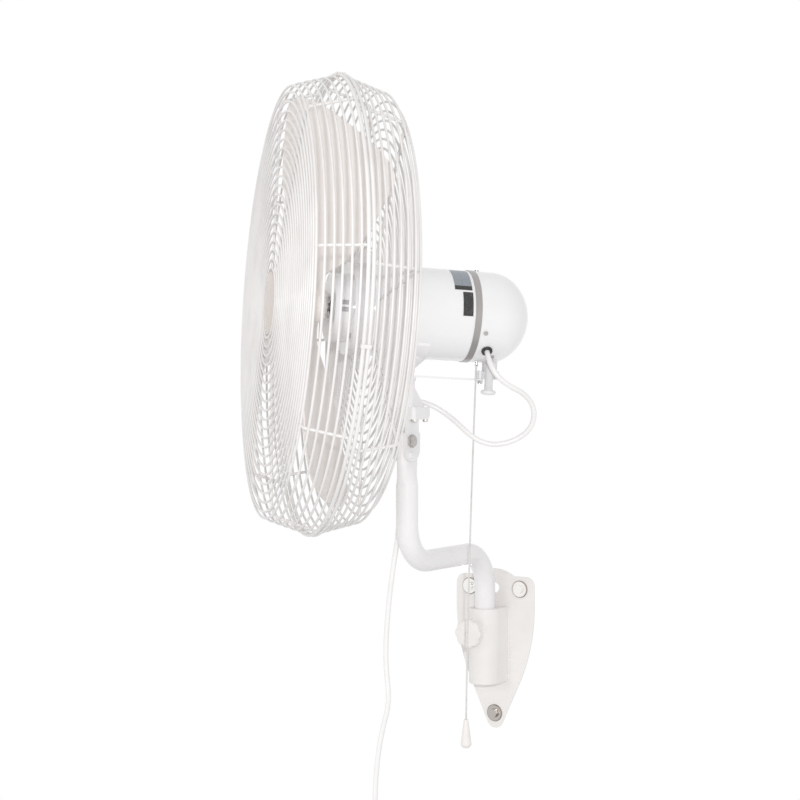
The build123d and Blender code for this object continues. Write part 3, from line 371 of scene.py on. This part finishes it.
metals = {
    "black_steel": (
        "blackSteel",
        (0.05, 0.048, 0.05, 1),
        (0.02, 0.02, 0.022, 1),
        {"smooth": 0.25, "rough": 0.45},
    ),
    "bright_steel": (
        "brightSteel",
        (0.70, 0.70, 0.71, 1),
        (0.50, 0.50, 0.51, 1),
        {"smooth": 0.15, "rough": 0.3},
    ),
    "brushed_metal": (
        "brushedMetal",
        (0.46, 0.44, 0.43, 1),
        (0.30, 0.29, 0.285, 1),
        {"smooth": 0.22, "rough": 0.4},
    ),
    "lamination_steel": (
        "laminationSteel",
        (0.33, 0.33, 0.34, 1),
        (0.12, 0.12, 0.13, 1),
        {"fineness": 900.0, "depth": 0.5},
    ),
    "die_cast": (
        "dieCast",
        (0.84, 0.84, 0.85, 1),
        (0.72, 0.72, 0.73, 1),
        {"fineness": 400.0, "smooth": 0.4, "rough": 0.6, "metallic": 0.1},
    ),
    "brass_pins": (
        "brassPins",
        (0.66, 0.48, 0.20, 1),
        (0.48, 0.34, 0.14, 1),
        {"smooth": 0.2, "rough": 0.35},
    ),
}
skins = {
    "badge_plastic": (
        "badgePlastic",
        (0.64, 0.56, 0.51, 1),
        (0.60, 0.52, 0.47, 1),
        {"smooth": 0.25, "rough": 0.4},
    ),
    "zinc_bolts": (
        "zincBolts",
        (0.80, 0.775, 0.735, 1),
        (0.55, 0.52, 0.48, 1),
        {"grain": 300.0, "smooth": 0.1, "rough": 0.28, "metallic": 1.0},
    ),
    "zinc_steel": (
        "zincSteel",
        (0.52, 0.50, 0.485, 1),
        (0.36, 0.34, 0.33, 1),
        {"grain": 300.0, "smooth": 0.25, "rough": 0.45, "metallic": 1.0},
    ),
    "copper": (
        "enamelCopper",
        (0.45, 0.16, 0.06, 1),
        (0.30, 0.10, 0.04, 1),
        {"grain": 700.0, "height": 0.5, "metallic": 0.7},
    ),
    "cream_plastic": (
        "creamPlastic",
        (0.88, 0.85, 0.825, 1),
        (0.83, 0.80, 0.775, 1),
        {"smooth": 0.2, "rough": 0.34},
    ),
    "plunger_white": (
        "plungerWhite",
        (0.86, 0.855, 0.86, 1),
        (0.80, 0.795, 0.80, 1),
        {"smooth": 0.22, "rough": 0.36},
    ),
    "sleeve_grey": (
        "sleeveGrey",
        (0.50, 0.505, 0.52, 1),
        (0.42, 0.425, 0.44, 1),
        {"smooth": 0.5, "rough": 0.7},
    ),
    "dark_plastic": ("darkPlastic", (0.06, 0.06, 0.065, 1), (0.09, 0.09, 0.095, 1), {}),
    "black_rubber": (
        "blackRubber",
        (0.022, 0.022, 0.024, 1),
        (0.06, 0.06, 0.062, 1),
        {"smooth": 0.45, "rough": 0.7},
    ),
    "cord_sheath": (
        "cordSheath",
        (0.92, 0.91, 0.905, 1),
        (0.88, 0.87, 0.865, 1),
        {"grain": 300.0, "height": 0.02},
    ),
    "tie_strap": (
        "tieStrap",
        (0.70, 0.70, 0.695, 1),
        (0.62, 0.62, 0.615, 1),
        {"smooth": 0.4, "rough": 0.6},
    ),
    "pull_cord": (
        "pullCord",
        (0.72, 0.705, 0.69, 1),
        (0.56, 0.54, 0.525, 1),
        {"smooth": 0.4, "rough": 0.6},
    ),
}


def makeFinishes():
    made = {}
    for table, maker in ((paints, coat), (metals, metal), (skins, moulded)):
        for slot, (name, main, second, more) in table.items():
            made[slot] = maker(name, main, second, **more)
    return made


finishes = makeFinishes()

# The two bare plates by the band: the upper one pale with a dark foot, the lower one dark
plates = {
    "pale": (0.30, 0.33, 0.36, 1),
    "paleScuffed": (0.24, 0.26, 0.285, 1),
    "dark": (0.055, 0.055, 0.055, 1),
    "darkScuffed": (0.13, 0.13, 0.13, 1),
    "footTop": 0.0415,
    "footBlur": 0.0002,
    "scuffs": {"scale": 320.0, "detail": 4.0, "roughness": 0.7},
    "scuffsFrom": 0.5,
    "scuffsTo": 0.72,
    "metallic": 0.6,
}


def plateFinish():
    made, tree, skin, group = newSkin("plateMetal", "turnedGrain", {}, plates["metallic"])
    place, parts = headPlace(tree)
    low, high = plates["footTop"] - plates["footBlur"], plates["footTop"] + plates["footBlur"]
    foot = ramp(tree, parts.outputs["Y"], low, high, 1.0, 0.0)
    worn = noise(tree, place, **plates["scuffs"])
    scuffs = ramp(tree, worn, plates["scuffsFrom"], plates["scuffsTo"])
    darkened = blendColour(tree, scuffs, plates["dark"], plates["darkScuffed"])
    paled = blendColour(tree, scuffs, plates["pale"], plates["paleScuffed"])
    tree.links.new(blendColour(tree, foot, paled, darkened), skin.inputs["Base Color"])
    return made


# Plated wall bolts: the upper two bright and warm, the lower one browner, with a painted shade
# darkening each washer's outer edge
bolts = {
    "upper": (0.90, 0.885, 0.86, 1),
    "lower": (0.50, 0.465, 0.44, 1),
    # colour of the painted shade on the washers' outer edge
    "paintedRimShade": (0.34, 0.29, 0.25, 1),
    "side": 0.0473,
    "drop": -0.210,
    "rimShadeFrom": 0.0118,
    "rimShadeTo": 0.0138,
    "changesFrom": -0.16,
    "changesTo": -0.06,
    "metallic": 0.9,
    "skin": {"Grain size": 500.0, "Grain height": 0.15, "Smooth": 0.12, "Rough": 0.3},
}


def awayFrom(tree, across, up, atAcross, atUp):
    # distance in the wall's plane from one point
    squares = []
    for value, place in ((across, atAcross), (up, atUp)):
        gap = mathNode(tree, "SUBTRACT", value, place)
        squares.append(mathNode(tree, "MULTIPLY", gap, gap))
    return mathNode(tree, "SQRT", mathNode(tree, "ADD", *squares))


def boltFinishWithRimShade():
    made, tree, skin, group = newSkin("platedBoltWithRimShade", "mouldedSkin", bolts["skin"], bolts["metallic"])
    parts = tree.nodes.new("ShaderNodeSeparateXYZ")
    tree.links.new(tree.nodes.new("ShaderNodeTexCoord").outputs["Object"], parts.inputs[0])
    across, up = parts.outputs["X"], parts.outputs["Z"]
    height = ramp(tree, up, bolts["changesFrom"], bolts["changesTo"])
    plated = blendColour(tree, height, bolts["lower"], bolts["upper"])
    fromUpper = awayFrom(tree, mathNode(tree, "ABSOLUTE", across), up, bolts["side"], 0.0)
    fromLower = awayFrom(tree, across, up, 0.0, bolts["drop"])
    nearest = mathNode(tree, "MINIMUM", fromUpper, fromLower)
    # painted shade: the washers' outer edge is darkened in colour, in place of the shade that falls
    # there
    paintedRimShade = ramp(tree, nearest, bolts["rimShadeFrom"], bolts["rimShadeTo"])
    tree.links.new(blendColour(tree, paintedRimShade, plated, bolts["paintedRimShade"]), skin.inputs["Base Color"])
    return made


# Nodes that the photograph shows in another finish than their slot's
dressing = {"crank_pin": "bright_steel", "motor_screws": "zinc_steel", "link_rod": "neck_paint"}


def dressNodes():
    for row in frame["record"]["subparts"]:
        mesh = nodes[row["node"]].data
        mesh.materials.clear()
        mesh.materials.append(finishes[row["material_slot"]])
    nodes["rating_plates"].data.materials[0] = plateFinish()
    nodes["wall_screws"].data.materials[0] = boltFinishWithRimShade()
    for node, finishName in dressing.items():
        nodes[node].data.materials[0] = finishes[finishName]


dressNodes()
print("finishes on the frame's nodes:", len(finishes))


def routeLine(name, points, steps=12):
    # the smooth line of a route, read from its spline
    data = bpy.data.curves.new(name + "Line", "CURVE")
    data.dimensions = "3D"
    data.resolution_u = steps
    spline = data.splines.new("NURBS")
    spline.points.add(len(points) - 1)
    for point, place in zip(spline.points, points):
        point.co = (*place, 1.0)
    spline.order_u = 3
    spline.use_endpoint_u = True
    holder = bpy.data.objects.new(name + "Line", data)
    bpy.context.scene.collection.objects.link(holder)
    bpy.context.view_layer.update()
    mesh = bpy.data.meshes.new_from_object(holder)
    line = [v.co.copy() for v in mesh.vertices]
    bpy.data.objects.remove(holder)
    bpy.data.meshes.remove(mesh)
    return line


def ringOf(made, middle, side, other, radius, sides):
    # points round a middle, in the plane of two directions
    ring = []
    for k in range(sides):
        angle = 2 * math.pi * k / sides
        outward = side * math.cos(angle) + other * math.sin(angle)
        ring.append(made.verts.new(middle + outward * radius))
    return ring


def joinRings(made, rings):
    # faces between rings of as many points, and a cap on each end
    for first, second in zip(rings, rings[1:]):
        sides = len(first)
        for k in range(sides):
            made.faces.new((first[k], first[(k + 1) % sides], second[(k + 1) % sides], second[k]))
    made.faces.new(list(reversed(rings[0])))
    made.faces.new(rings[-1])


def tubeMesh(name, line, radiusAt, sides=14):
    # a closed tube round a line, without twist
    made = bmesh.new()
    tangent = (line[1] - line[0]).normalized()
    side = tangent.orthogonal().normalized()
    rings = []
    travelled = 0.0
    for i, place in enumerate(line):
        following = (line[min(i + 1, len(line) - 1)] - line[max(i - 1, 0)]).normalized()
        side = (side - following * side.dot(following)).normalized()
        other = following.cross(side)
        if i:
            travelled += (place - line[i - 1]).length
        rings.append(ringOf(made, place, side, other, radiusAt(travelled), sides))
    joinRings(made, rings)
    return meshPiece(name, made)


def meshPiece(name, made, finishName=None, smooth=True):
    bmesh.ops.recalc_face_normals(made, faces=made.faces)
    mesh = bpy.data.meshes.new(name)
    made.to_mesh(mesh)
    made.free()
    for face in mesh.polygons:
        face.use_smooth = smooth
    piece = bpy.data.objects.new(name, mesh)
    bpy.context.scene.collection.objects.link(piece)
    if finishName:
        mesh.materials.append(finishes[finishName])
    return piece


def evenLine(line, step):
    # the same line, divided evenly
    out = [line[0].copy()]
    need = step
    for first, second in zip(line, line[1:]):
        run = (second - first).length
        while need <= run:
            out.append(first.lerp(second, need / run))
            need += step
        need -= run
    out.append(line[-1].copy())
    return out


def lengthOf(line):
    return sum((b - a).length for a, b in zip(line, line[1:]))


# The cord from the rear cover's bush round to the neck
cordLoop = {
    "diameter": 0.008,
    "route": [
        (0.1120, -0.2338, 0.3880), (0.1182, -0.2406, 0.3775), (0.1260, -0.2460, 0.3645),
        (0.1360, -0.2435, 0.3485), (0.1485, -0.2310, 0.3350), (0.1605, -0.2115, 0.3255),
        (0.1670, -0.1945, 0.3115), (0.1680, -0.1845, 0.2925), (0.1605, -0.1815, 0.2725),
        (0.1440, -0.1845, 0.2570), (0.1235, -0.1965, 0.2472), (0.1014, -0.2102, 0.2456),
        (0.0792, -0.2206, 0.2570), (0.0600, -0.2263, 0.2755), (0.0410, -0.2295, 0.2910),
        (0.0250, -0.2370, 0.3025), (0.0128, -0.2460, 0.3090), (0.0055, -0.2560, 0.3120),
        (0.0017, -0.2673, 0.3134),
    ],
}


def makeCordLoop():
    line = routeLine("cordLoop", cordLoop["route"])
    piece = tubeMesh("head_cord_loop", line, lambda travelled: cordLoop["diameter"] / 2)
    piece.data.materials.append(finishes["cord_sheath"])
    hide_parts("cord_loop")
    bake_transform(piece)


makeCordLoop()

# The mains lead: down the arm, then wound into a tied coil with its plug
lead = {
    "diameter": 0.008,
    "route": [
        (-0.0190, -0.2740, 0.2860), (-0.0190, -0.2740, 0.2560), (-0.0200, -0.2712, 0.2180),
        (-0.0208, -0.2710, 0.1800), (-0.0208, -0.2716, 0.1420), (-0.0216, -0.2730, 0.1040),
        (-0.0300, -0.2750, 0.0560), (-0.0385, -0.2755, -0.0080), (-0.0426, -0.2760, -0.0660),
        (-0.0412, -0.2760, -0.1040), (-0.0366, -0.2760, -0.1410), (-0.0394, -0.2760, -0.1640),
        (-0.0464, -0.2760, -0.1870), (-0.0545, -0.2760, -0.2220), (-0.0600, -0.2760, -0.2620),
        (-0.0620, -0.2760, -0.3000), (-0.0624, -0.2760, -0.3340), (-0.0624, -0.2760, -0.3650),
    ],
    "coilRadius": 0.052,
    "coilStep": 0.0087,
    "turnsInLayer": 3,
    "pointsInHalfTurn": 8,
    "steps": 6,
    "tail": [
        (0.0, 0.0, -0.020), (-0.005, 0.001, -0.042),
        (-0.009, 0.002, -0.066), (-0.009, 0.002, -0.088),
    ],
    "bendsFrom": (-0.019, -0.274, 0.284),
    "bendsTo": (-0.020, -0.2712, 0.200),
}


def makeLead():
    # half turns that wind inwards, a step towards the wall, then half turns back outwards
    points = list(lead["route"])
    x, y, z = points[-1]
    pitch = lead["coilStep"] / 2
    halfTurns = 2 * lead["turnsInLayer"]
    radii = [lead["coilRadius"] - pitch * i for i in range(halfTurns)]
    climb = radii[-1] - pitch / 2
    radii = [(r, 0.0) for r in radii] + [(climb, lead["coilStep"])] + [
        (r - pitch / 2, 0.0) for r in reversed([v + pitch for v in radii[1:]])
    ]
    heading = 1.0
    count = lead["pointsInHalfTurn"]
    for radius, rise in radii:
        middle = x + heading * radius
        for k in range(1, count + 1):
            turned = math.pi * k / count
            points.append((
                middle - heading * radius * math.cos(turned),
                y + rise * k / count,
                z - heading * radius * math.sin(turned),
            ))
        x = middle + heading * radius
        y += rise
        heading = -heading
    print("coil ends at", [round(v, 4) for v in (x, y, z)])
    for dx, dy, dz in lead["tail"]:
        points.append((x + dx, y + dy, z + dz))
    line = routeLine("lead", points, lead["steps"])
    print("lead length", round(lengthOf(line), 4))
    piece = tubeMesh("mains_lead", line, lambda travelled: lead["diameter"] / 2)
    piece.data.materials.append(finishes["cord_sheath"])
    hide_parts("power_lead", "lead_coil", "lead_tail")
    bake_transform(piece)


makeLead()

# The pull cord: a thin beaded line with its knob
pull = {
    "diameter": 0.0025,
    "bead": 0.0034,
    "thickest": 0.00302,
    "thinnest": 0.00167,
    "pointsInBead": 4,
    "sides": 8,
    "steps": 200,
    "route": [(0.0824, -0.21388, 0.3649), (0.0666, -0.2109, 0.0560), (0.0632, -0.2114, -0.1775)],
}


def makePullCord():
    line = routeLine("pull", pull["route"], pull["steps"])
    length = lengthOf(line)
    beads = round(length / pull["bead"])
    even = evenLine(line, length / (beads * pull["pointsInBead"]))

    def radiusAt(travelled):
        swell = abs(math.sin(math.pi * travelled / pull["bead"]))
        return (pull["thinnest"] + (pull["thickest"] - pull["thinnest"]) * swell) / 2

    piece = tubeMesh("pull_line", even, radiusAt, pull["sides"])
    piece.data.materials.append(finishes["pull_cord"])
    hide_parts("pull_cord")
    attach(piece, "pull_cord")


makePullCord()
print("cords made")

# Weld beads where the socket and its boss meet the wall plate
weld = {
    "plateFront": -0.003,
    "side": 0.0265,
    "top": -0.0318,
    "foot": -0.1522,
    "ripple": 0.0045,
    "unevenness": 0.16,
    "pointsInRipple": 5,
    "radius": 0.0019,
    "sides": 8,
}


def weldBead(name, line, body, finishName):
    def radiusAt(travelled):
        swell = math.sin(2 * math.pi * travelled / weld["ripple"])
        return weld["radius"] * (1.0 + weld["unevenness"] * swell)

    even = evenLine(line, weld["ripple"] / weld["pointsInRipple"])
    piece = tubeMesh(name, even, radiusAt, weld["sides"])
    piece.data.materials.append(finishes[finishName])
    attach(piece, body)


def makeWelds():
    for side, label in ((-1, "left"), (1, "right")):
        across = side * weld["side"]
        ends = [Vector((across, weld["plateFront"], weld[height])) for height in ("top", "foot")]
        weldBead("socket_weld_" + label, ends, "wall_bracket", "bracket_paint")


bar = {"sides": 18, "bevelOfRadius": 0.35, "bevelOfLength": 0.4}


def roundBar(name, start, end, radius, body, finishName):
    # a short turned bar with a rounded edge at its end
    axis = (end - start).normalized()
    side = axis.orthogonal().normalized()
    other = axis.cross(side)
    length = (end - start).length
    bevel = min(radius * bar["bevelOfRadius"], length * bar["bevelOfLength"])
    profile = [(0.0, radius), (length - bevel, radius)]
    profile += [
        (length - bevel + bevel * math.sin(a), radius - bevel + bevel * math.cos(a))
        for a in (math.pi / 6, math.pi / 3, math.pi / 2)
    ]
    made = bmesh.new()
    rings = [
        ringOf(made, start + axis * along, side, other, out, bar["sides"]) for along, out in profile
    ]
    joinRings(made, rings)
    piece = meshPiece(name, made, finishName)
    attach(piece, body)


# Rivets on the front of the hub's flange, two to each blade
rivets = {
    "count": 6,
    "firstAt": 62.0,
    "radius": 0.0028,
    "height": 0.0018,
    "ring": 0.0185,
    "flangeFront": 0.144,
    "sunk": 0.0002,
}


def makeRivets():
    for k in range(rivets["count"]):
        angle = math.radians(rivets["firstAt"] + 360 * k / rivets["count"])
        across, up = rivets["ring"] * math.cos(angle), rivets["ring"] * math.sin(angle)
        start = onHead(across, up, rivets["flangeFront"] - rivets["sunk"])
        end = onHead(across, up, rivets["flangeFront"] + rivets["height"])
        roundBar(f"hub_rivet_{k + 1}", start, end, rivets["radius"], "fan", "zinc_steel")


# The insulating sleeve that shows grey through the bell's vents
sleeve = {"radius": 0.0490, "wall": 0.0006, "back": 0.0970, "front": 0.1180, "sides": 72}


def makeSleeve():
    made = bmesh.new()
    rings = []
    inner = sleeve["radius"] - sleeve["wall"]
    corners = [
        (sleeve["radius"], sleeve["back"]),
        (sleeve["radius"], sleeve["front"]),
        (inner, sleeve["front"]),
        (inner, sleeve["back"]),
    ]
    for k in range(sleeve["sides"]):
        angle = 2 * math.pi * k / sleeve["sides"]
        rings.append([
            made.verts.new(onHead(out * math.cos(angle), out * math.sin(angle), along))
            for out, along in corners
        ])
    for first, second in zip(rings, rings[1:] + rings[:1]):
        for k in range(len(corners)):
            after = (k + 1) % len(corners)
            made.faces.new((first[k], second[k], second[after], first[after]))
    piece = meshPiece("bell_sleeve", made, "sleeve_grey", smooth=False)
    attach(piece, "head")


# The clutch's plunger: a stem with a turned mushroom knob
plunger = {
    "side": 0.022,
    "along": -0.1285,
    "profile": [
        (0.0, -0.0460), (0.0052, -0.0460), (0.0052, -0.0770), (0.0063, -0.0776),
        (0.0064, -0.1112), (0.0102, -0.1124), (0.0114, -0.1134), (0.0118, -0.1148),
        (0.0115, -0.1164), (0.0104, -0.1179), (0.0086, -0.1189), (0.0060, -0.1194),
        (0.0, -0.1195),
    ],
    "sides": 40,
}


def makePlunger():
    made = bmesh.new()
    rings = []
    for radius, up in plunger["profile"]:
        count = 1 if radius == 0.0 else plunger["sides"]
        rings.append([
            made.verts.new(onHead(
                plunger["side"] + radius * math.cos(2 * math.pi * k / count),
                up,
                plunger["along"] + radius * math.sin(2 * math.pi * k / count),
            ))
            for k in range(count)
        ])
    for first, second in zip(rings, rings[1:]):
        for k in range(plunger["sides"]):
            after = (k + 1) % plunger["sides"]
            if len(first) == 1:
                made.faces.new((first[0], second[k], second[after]))
            elif len(second) == 1:
                made.faces.new((first[k], first[after], second[0]))
            else:
                made.faces.new((first[k], first[after], second[after], second[k]))
    piece = meshPiece("plunger_knob", made, "plunger_white")
    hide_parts("plunger")
    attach(piece, "plunger")


# Slim sheet clips that squeeze the cage's two rims together
clips = {
    "at": (-12.0, 78.0, 168.0, 258.0),
    "width": 0.0052,
    "crown": 0.34545,
    "reach": 0.0062,
    "sheet": 0.0009,
    "middle": 0.13620,
    "halfGap": 0.00635,
    "corner": 0.0016,
}


def clipProfile():
    # a C in the plane of the cage's radius and axis, with rounded outer corners
    crown, sheet, corner = clips["crown"], clips["sheet"], clips["corner"]
    half = clips["halfGap"]
    foot = crown - clips["reach"]
    outer = [(foot, half + sheet)]
    for angle in (90, 60, 30, 0):
        turned = math.radians(angle)
        outer.append((
            crown + sheet - corner + corner * math.cos(turned),
            half + sheet - corner + corner * math.sin(turned),
        ))
    inner = [(crown, half - corner / 2), (crown - corner / 2, half), (foot, half)]
    outside = outer + [(out, -along) for out, along in reversed(outer)]
    inside = [(out, -along) for out, along in reversed(inner)] + inner
    return outside, inside


def makeClips():
    outside, inside = clipProfile()
    made = bmesh.new()
    for degrees in clips["at"]:
        angle = math.radians(degrees)
        layers = []
        for side in (-clips["width"] / 2, clips["width"] / 2):
            layer = []
            for line in (outside, inside):
                layer.append([
                    made.verts.new(onHead(
                        out * math.cos(angle) - side * math.sin(angle),
                        out * math.sin(angle) + side * math.cos(angle),
                        clips["middle"] + along,
                    ))
                    for out, along in line
                ])
            layers.append(layer[0] + layer[1])
        count = len(layers[0])
        for k in range(count):
            after = (k + 1) % count
            made.faces.new((layers[0][k], layers[0][after], layers[1][after], layers[1][k]))
        made.faces.new(list(reversed(layers[0])))
        made.faces.new(layers[1])
    piece = meshPiece("rim_clips", made, "wire_paint", smooth=False)
    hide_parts("guard_clips")
    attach(piece, "head")


makeWelds()
makeRivets()
makeSleeve()
makePlunger()
makeClips()
print("welds, rivets, sleeve, plunger and clips made")

# A pale round floor, and a world that lights softly and looks white
stage = {
    "floorLevel": -0.56,
    "floorRadius": 0.75,
    "floorSides": 96,
    "floorMiddle": -0.2,
    "floorColour": (0.86, 0.86, 0.86, 1),
    "floorRoughness": 0.8,
    "fillWorld": 0.70,
}


def makeStage():
    made = bmesh.new()
    sides, radius = stage["floorSides"], stage["floorRadius"]
    bmesh.ops.create_circle(made, cap_ends=True, radius=radius, segments=sides)
    bmesh.ops.translate(made, verts=made.verts, vec=(0, stage["floorMiddle"], stage["floorLevel"]))
    floor = meshPiece("floor", made, smooth=False)
    pale = bpy.data.materials.new("paleFloor")
    pale.use_nodes = True
    skin = pale.node_tree.nodes["Principled BSDF"]
    skin.inputs["Base Color"].default_value = stage["floorColour"]
    skin.inputs["Roughness"].default_value = stage["floorRoughness"]
    floor.data.materials.append(pale)

    world = bpy.data.worlds.new("studio")
    bpy.context.scene.world = world
    world.use_nodes = True
    tree = world.node_tree
    tree.nodes.clear()
    soft, white = [
        addNode(tree, "ShaderNodeBackground", in_Color=(1, 1, 1, 1), in_Strength=strength)
        for strength in (stage["fillWorld"], 1.0)
    ]
    rays = tree.nodes.new("ShaderNodeLightPath").outputs
    mirrored = mathNode(tree, "MAXIMUM", rays["Is Camera Ray"], rays["Is Glossy Ray"])
    seen = mathNode(tree, "MAXIMUM", mirrored, rays["Is Transmission Ray"])
    mixed = tree.nodes.new("ShaderNodeMixShader")
    tree.links.new(seen, mixed.inputs[0])
    tree.links.new(soft.outputs[0], mixed.inputs[1])
    tree.links.new(white.outputs[0], mixed.inputs[2])
    out = tree.nodes.new("ShaderNodeOutputWorld")
    tree.links.new(mixed.outputs[0], out.inputs["Surface"])


# The small front lamp gives the sharp highlights, the two wide ones the soft light
lamps = {
    "front": {"at": (1.31, -2.26, 0.46), "size": 0.045, "power": 18.5},
    "high": {"at": (-1.2, -1.6, 2.2), "size": 1.6, "power": 6.0},
    "left": {"at": (-0.4, -2.9, 0.5), "size": 0.9, "power": 5.0},
}
lampsAim = (0.0, -0.25, 0.25)


def makeLamps():
    aim = Vector(lampsAim)
    for name, row in lamps.items():
        data = bpy.data.lights.new(name, "AREA")
        data.shape = "DISK"
        data.size = row["size"]
        data.energy = row["power"]
        lamp = bpy.data.objects.new(name, data)
        bpy.context.scene.collection.objects.link(lamp)
        lamp.location = row["at"]
        lamp.rotation_euler = (aim - Vector(row["at"])).to_track_quat("-Z", "Y").to_euler()


# The photograph's own view
view = {"at": (1.2419, -2.2898, 0.314), "turn": (90.0, 0.0, 32.0), "lens": 69.75, "sensor": 36.0}


def makeCamera():
    data = bpy.data.cameras.new("photoView")
    data.lens = view["lens"]
    data.sensor_width = view["sensor"]
    camera = bpy.data.objects.new("photoView", data)
    bpy.context.scene.collection.objects.link(camera)
    camera.location = view["at"]
    camera.rotation_euler = [math.radians(v) for v in view["turn"]]
    bpy.context.scene.camera = camera
    bpy.context.scene.view_settings.view_transform = "Standard"


makeStage()
makeLamps()
makeCamera()
print("stage, lamps and camera made")
